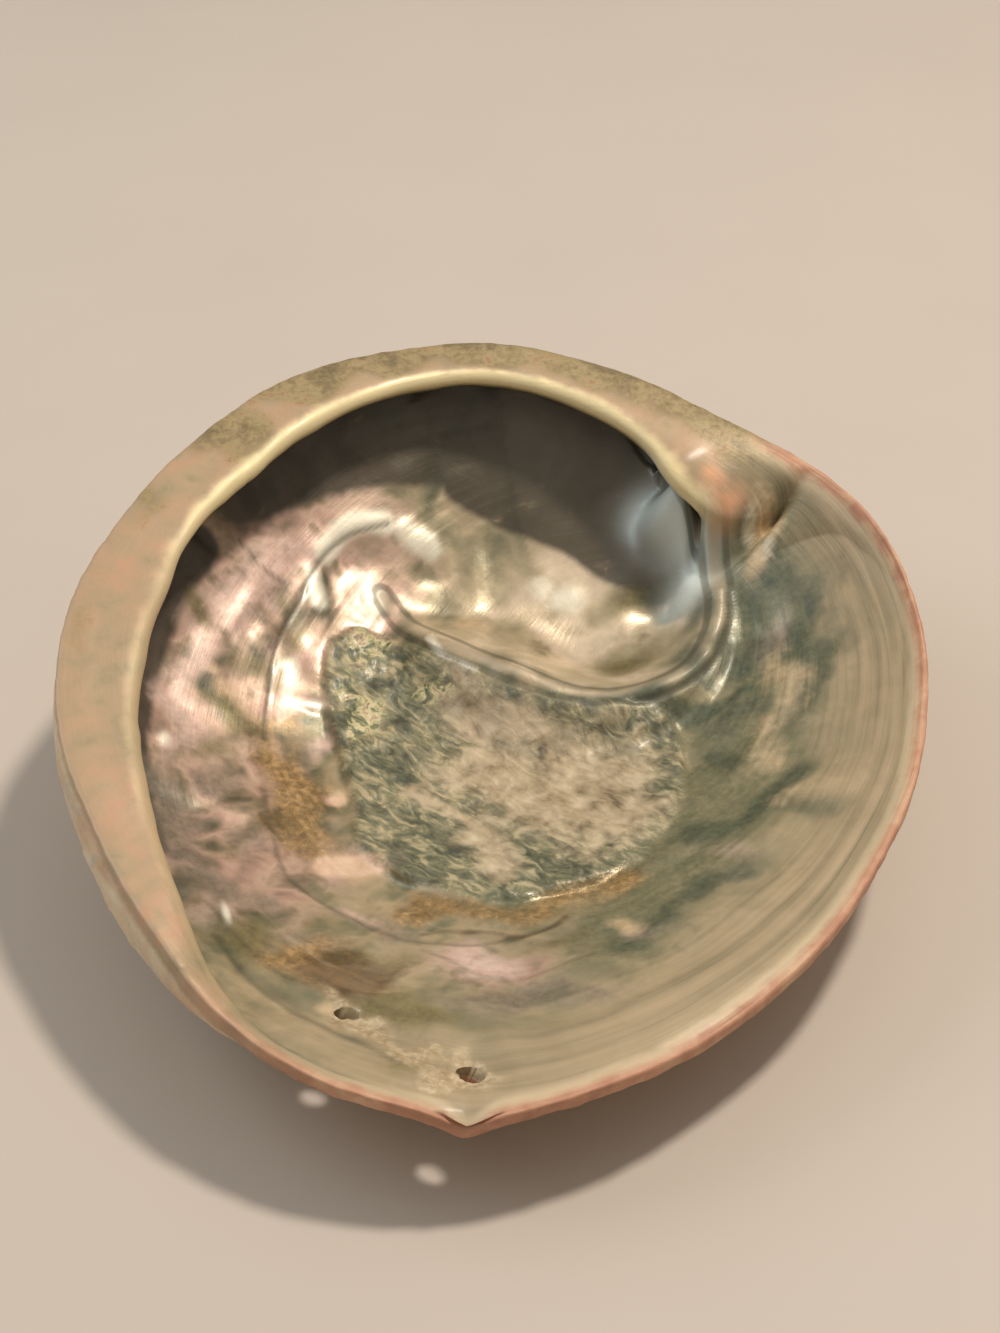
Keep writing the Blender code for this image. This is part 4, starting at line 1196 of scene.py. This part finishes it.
grain = {  # noise size in millimetres, detail, roughness, distortion, seed
    "coarse": (13.0, 2.0, 0.45, 0.6, 0.0),
    "medium": (5.5, 3.0, 0.5, 0.4, 3.0),
    "fine": (1.7, 4.0, 0.65, 0.4, 5.0),
    "streak": (3.4, 5.0, 0.6, 0.5, 0.0),
    "streakFine": (0.9, 4.0, 0.65, 0.3, 0.0),
    "scar": (2.9, 4.0, 0.62, 1.0, 2.0),
    "flecks": (3.0, 3.0, 0.6, 0.8, 9.0),
    "chalky": (9.0, 6.0, 0.66, 0.8, 11.0),
    "pores": (0.55, 3.0, 0.6, 0.0, 0.0),
    "outside": (1.1, 5.0, 0.7, 0.0, 0.0),
}

gloss = {
    "roughness": 0.34,
    "dullRoughness": 0.62,
    "metallic": 0.34,
    "coat": 0.30,
    "coatRoughness": 0.18,
    "refraction": 1.53,
    "bumpStrength": 0.35,
    "bumpDepth": 0.0006,  # metres
}


def shellFinish():
    material, tree, shader = newMaterial("abaloneNacre")

    def field(name, output="Fac"):
        return tree.add("ShaderNodeAttribute", {"attribute_name": name}, None, output)

    place = tree.stretch(tree.add("ShaderNodeTexCoord", None, None, "Object"), (1000, 1000, 1000))
    flow = field("flow", "Vector")
    inset, shelf, across = field("inset"), field("shelf"), field("across")
    hollow, scarField = field("hollow"), field("scar")

    coarse, medium, fine = (tree.noise(place, *grain[name]) for name in ("coarse", "medium", "fine"))
    streak = tree.noise(tree.stretch(flow, (1.0, 0.10, 0.10)), *grain["streak"])
    streakFine = tree.noise(tree.stretch(flow, (1.0, 0.06, 0.06)), *grain["streakFine"])

    def grey(factor):
        return tree.add("ShaderNodeCombineColor", None, {"Red": factor, "Green": factor, "Blue": factor})

    def painted(name, part, under):  # lays one of the smaller marks over the colour under it
        mark, strength = paint[name]
        return tree.mix(part * strength, under, tint(*mark))

    blend = coarse * 0.6 + medium * 0.4
    rosy = tree.ramp(coarse * 0.7 + medium * 0.3, finish["rosy"])
    sage = tree.ramp(blend, finish["sage"])
    inner = tree.ramp(coarse * 0.8 + medium * 0.2, finish["hollow"])
    colour = tree.mix(tree.smooth(field("rosy") + (coarse - 0.5) * 0.6, 0.25, 0.6), sage, rosy)
    colour = tree.mix(hollow, colour, inner)
    shade = 0.6 + (streak * (1.0 - field("rosy") * 0.7) + medium * field("rosy") * 0.7) * 0.5 + fine * 0.3
    colour = tree.mix(0.6, colour, grey(shade), "MULTIPLY")
    # painted shade and cast shadow of the shelf on the wall beneath it
    cavity = tree.smooth(field("cavity") + (medium - 0.5) * 0.2, 0.42, 0.66)
    colour = painted("cavity", cavity, colour)

    # bottom and right: calm, matte, streaked along the growth lines
    plain = 1.0 - shelf
    matte = tree.ramp(streak * 0.7 + streakFine * 0.3, finish["matte"])
    matteReach = plain * tree.smooth(inset + (medium - 0.5) * 26.0, 34.0, 14.0)
    colour = tree.mix(matteReach * 0.85, colour, matte)

    for name, wander, low, high, strength in patches:
        shown = tree.smooth(field(name) + (medium - 0.5) * wander + (streak - 0.5) * wander * 0.5, low, high)
        colour = tree.mix(shown * strength, colour, tree.ramp(fine * 0.5 + streak * 0.5, finish[name]))
    # painted bluish reflection on the wall inside the ridge
    colour = painted("pale", field("pale"), colour)

    # muscle scar
    scarEdge = tree.smooth(scarField + (fine - 0.5) * 5.0 + (medium - 0.5) * 4.0, -1.4, 1.6)
    slant = tree.add("ShaderNodeVectorRotate", {"rotation_type": "Z_AXIS"}, {"Vector": place, "Angle": 0.8})
    scarNoise = tree.noise(tree.stretch(slant, (0.4, 1.0, 0.8)), *grain["scar"])
    scarDark = tree.ramp(scarNoise * 0.8 + medium * 0.2, finish["scar"])
    scarPale = tree.ramp(scarNoise * 0.5 + medium * 0.5, finish["chalk"])
    chalk = tree.smooth(field("chalk") + (medium - 0.5) * 0.8 + (coarse - 0.5) * 0.4, 0.1, 0.75)
    scarColour = tree.mix(chalk, scarDark, scarPale)
    colour = tree.mix(scarEdge * 0.92, colour, scarColour)

    # bright flecks
    fleckPart = tree.smooth(field("flecks") + (medium - 0.5) * 1.2, 0.30, 0.8)
    fleckColour = tree.ramp(tree.noise(place, *grain["flecks"]), finish["flecks"])
    colour = tree.mix(fleckPart * 0.8, colour, fleckColour)

    # ridge: pale crest between dark creases, their dark partly painted shade below the overhung crest and
    # partly their own colour
    crest = field("crest")
    farIn = tree.smooth(inset, 9.0, 14.0)
    creaseGap = (crest - 2.5) * (crest - 2.5)
    colour = painted("creaseTintAndShade", tree.smooth(creaseGap, 1.1, 0.1) * farIn, colour)
    crestPale = tree.smooth(crest, 1.7, 0.5) * farIn
    colour = painted("crest", crestPale * (1.0 - field("dark")), colour)
    colour = painted("lines", field("lines"), colour)

    # shelf
    shelfColour = tree.ramp(medium * 0.6 + coarse * 0.4, finish["shelf"])
    stain = tree.smooth(field("stain") * 0.85 + (medium - 0.5) * 0.9 + (fine - 0.5) * 0.4, 0.15, 0.6)
    shelfColour = tree.mix(stain * 0.85, shelfColour, tree.ramp(fine * 0.5 + medium * 0.5, finish["stain"]))
    back = tree.add("ShaderNodeSeparateXYZ", None, {"Vector": place}, "Y")
    # painted highlight along the shelf's rounded inner edge, stronger toward the back
    nose = tree.smooth(across + (medium - 0.5) * 0.1, 0.44, 0.52) * (0.3 + 0.7 * tree.smooth(back, 5.0, 50.0))
    shelfColour = painted("nose", nose, shelfColour)
    onShelf = shelf * tree.smooth(across, 0.72, 0.60) * tree.smooth(inset, -2.2, -1.2)
    colour = tree.mix(onShelf, colour, shelfColour)
    colour = painted("ember", field("ember") * tree.smooth(across, 0.85, 0.65), colour)

    # lip
    lipColour = tree.ramp(streakFine * 0.5 + medium * 0.5, finish["lip"])
    lipReach = tree.smooth(inset + (fine - 0.5) * 1.2 + (medium - 0.5) * 2.6, 5.4, 2.8) * plain
    wavy = inset + (medium - 0.5) * 1.6
    colour = painted("band", tree.smooth(wavy, 2.4, 3.4) * tree.smooth(wavy, 7.0, 5.0) * plain, colour)
    colour = tree.mix(lipReach, colour, lipColour)

    # outside
    backColour = tree.ramp(streak * 0.55 + streakFine * 0.25 + medium * 0.2, finish["back"])
    chalky = tree.smooth(tree.noise(place, *grain["chalky"]), 0.56, 0.68)
    backColour = painted("chalky", chalky, backColour)
    wavy = inset + (medium - 0.5) * 3.0
    stripe = tree.smooth(wavy, -9.0, -6.0) * tree.smooth(wavy, -2.5, -4.5) * plain
    backColour = painted("stripe", stripe, backColour)
    outsidePart = tree.smooth(inset - shelf + (fine - 0.5) * 1.5, -1.0, -2.4)
    colour = tree.mix(outsidePart, colour, backColour)

    rough = gloss["roughness"] + (medium - 0.5) * 0.25 + (fine - 0.5) * 0.1
    rough = rough + matteReach * 0.22 + tree.smooth(crest, 4.0, 2.0) * farIn * 0.14
    dull = (scarEdge * 0.65).above(onShelf * 0.5).above(lipReach * 0.8).above(outsidePart)
    rough = rough * (1.0 - dull) + dull * gloss["dullRoughness"]
    rough = rough + field("pale") * 0.26 + (field("rosy") * 0.12 + field("dark") * 0.1) * (1.0 - dull)
    metallic = gloss["metallic"] * (1.0 - dull) * (1.0 - matteReach * 0.7) * (1.0 - field("dark") * 0.5)
    coat = gloss["coat"] * (1.0 - dull) * (1.0 - matteReach * 0.8)
    for name, part in (("moss", 0.6), ("pale", 0.9), ("dark", 0.7), ("rosy", 0.35)):
        coat = coat * (1.0 - field(name) * part)

    bumpNoise = fine * 0.25 + streakFine * 0.35 * (1.0 - scarEdge)
    bumpNoise = bumpNoise + scarNoise * scarEdge * 1.25 + medium * 0.28
    pores = tree.noise(place, *grain["pores"]) * (0.06 + dull * 0.2)
    coarseOutside = tree.noise(place, *grain["outside"]) * outsidePart * 1.5
    fineBump = tree.add("ShaderNodeBump", None, {
        "Height": bumpNoise + pores + coarseOutside, "Strength": gloss["bumpStrength"],
        "Distance": gloss["bumpDepth"]}, "Normal")

    tree.feedAll(shader, {
        "Base Color": colour, "Roughness": rough, "Metallic": metallic, "Coat Weight": coat,
        "Coat Roughness": gloss["coatRoughness"], "IOR": gloss["refraction"], "Normal": fineBump})
    return material


raiseRelief(shell, shellFinish())
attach(shell, "root")
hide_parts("shell")
print("relief and finish are on the shell")


# Floor and sky


def makeFloor():
    half = studio["floorSize"] / 2
    data = bpy.data.meshes.new("floor")
    corners = [(-half, -half, 0), (half, -half, 0), (half, half, 0), (-half, half, 0)]
    data.from_pydata(corners, [], [(0, 1, 2, 3)])
    floor = linkObject("floor", data)
    material, tree, shader = newMaterial("paleFloor")
    place = tree.add("ShaderNodeTexCoord", None, None, "Object")
    size, darker = studio["floorMottle"]
    mottle = tree.noise(place, size, 3.0, 0.5)
    base = studio["floorColour"]
    colour = tree.mix(mottle, tint(*base), tint(*(value - darker for value in base)))
    tree.feedAll(shader, {"Base Color": colour, "Roughness": studio["floorRoughness"]})
    data.materials.append(material)


def makeSky():
    world = bpy.data.worlds.new("studioSky")
    world.use_nodes = True
    background = world.node_tree.nodes["Background"]
    background.inputs["Color"].default_value = tint(*studio["skyColour"])
    background.inputs["Strength"].default_value = studio["skyStrength"]
    bpy.context.scene.world = world


makeFloor()
makeSky()
bpy.context.scene.view_settings.view_transform = "Standard"
print("floor and sky are in place")
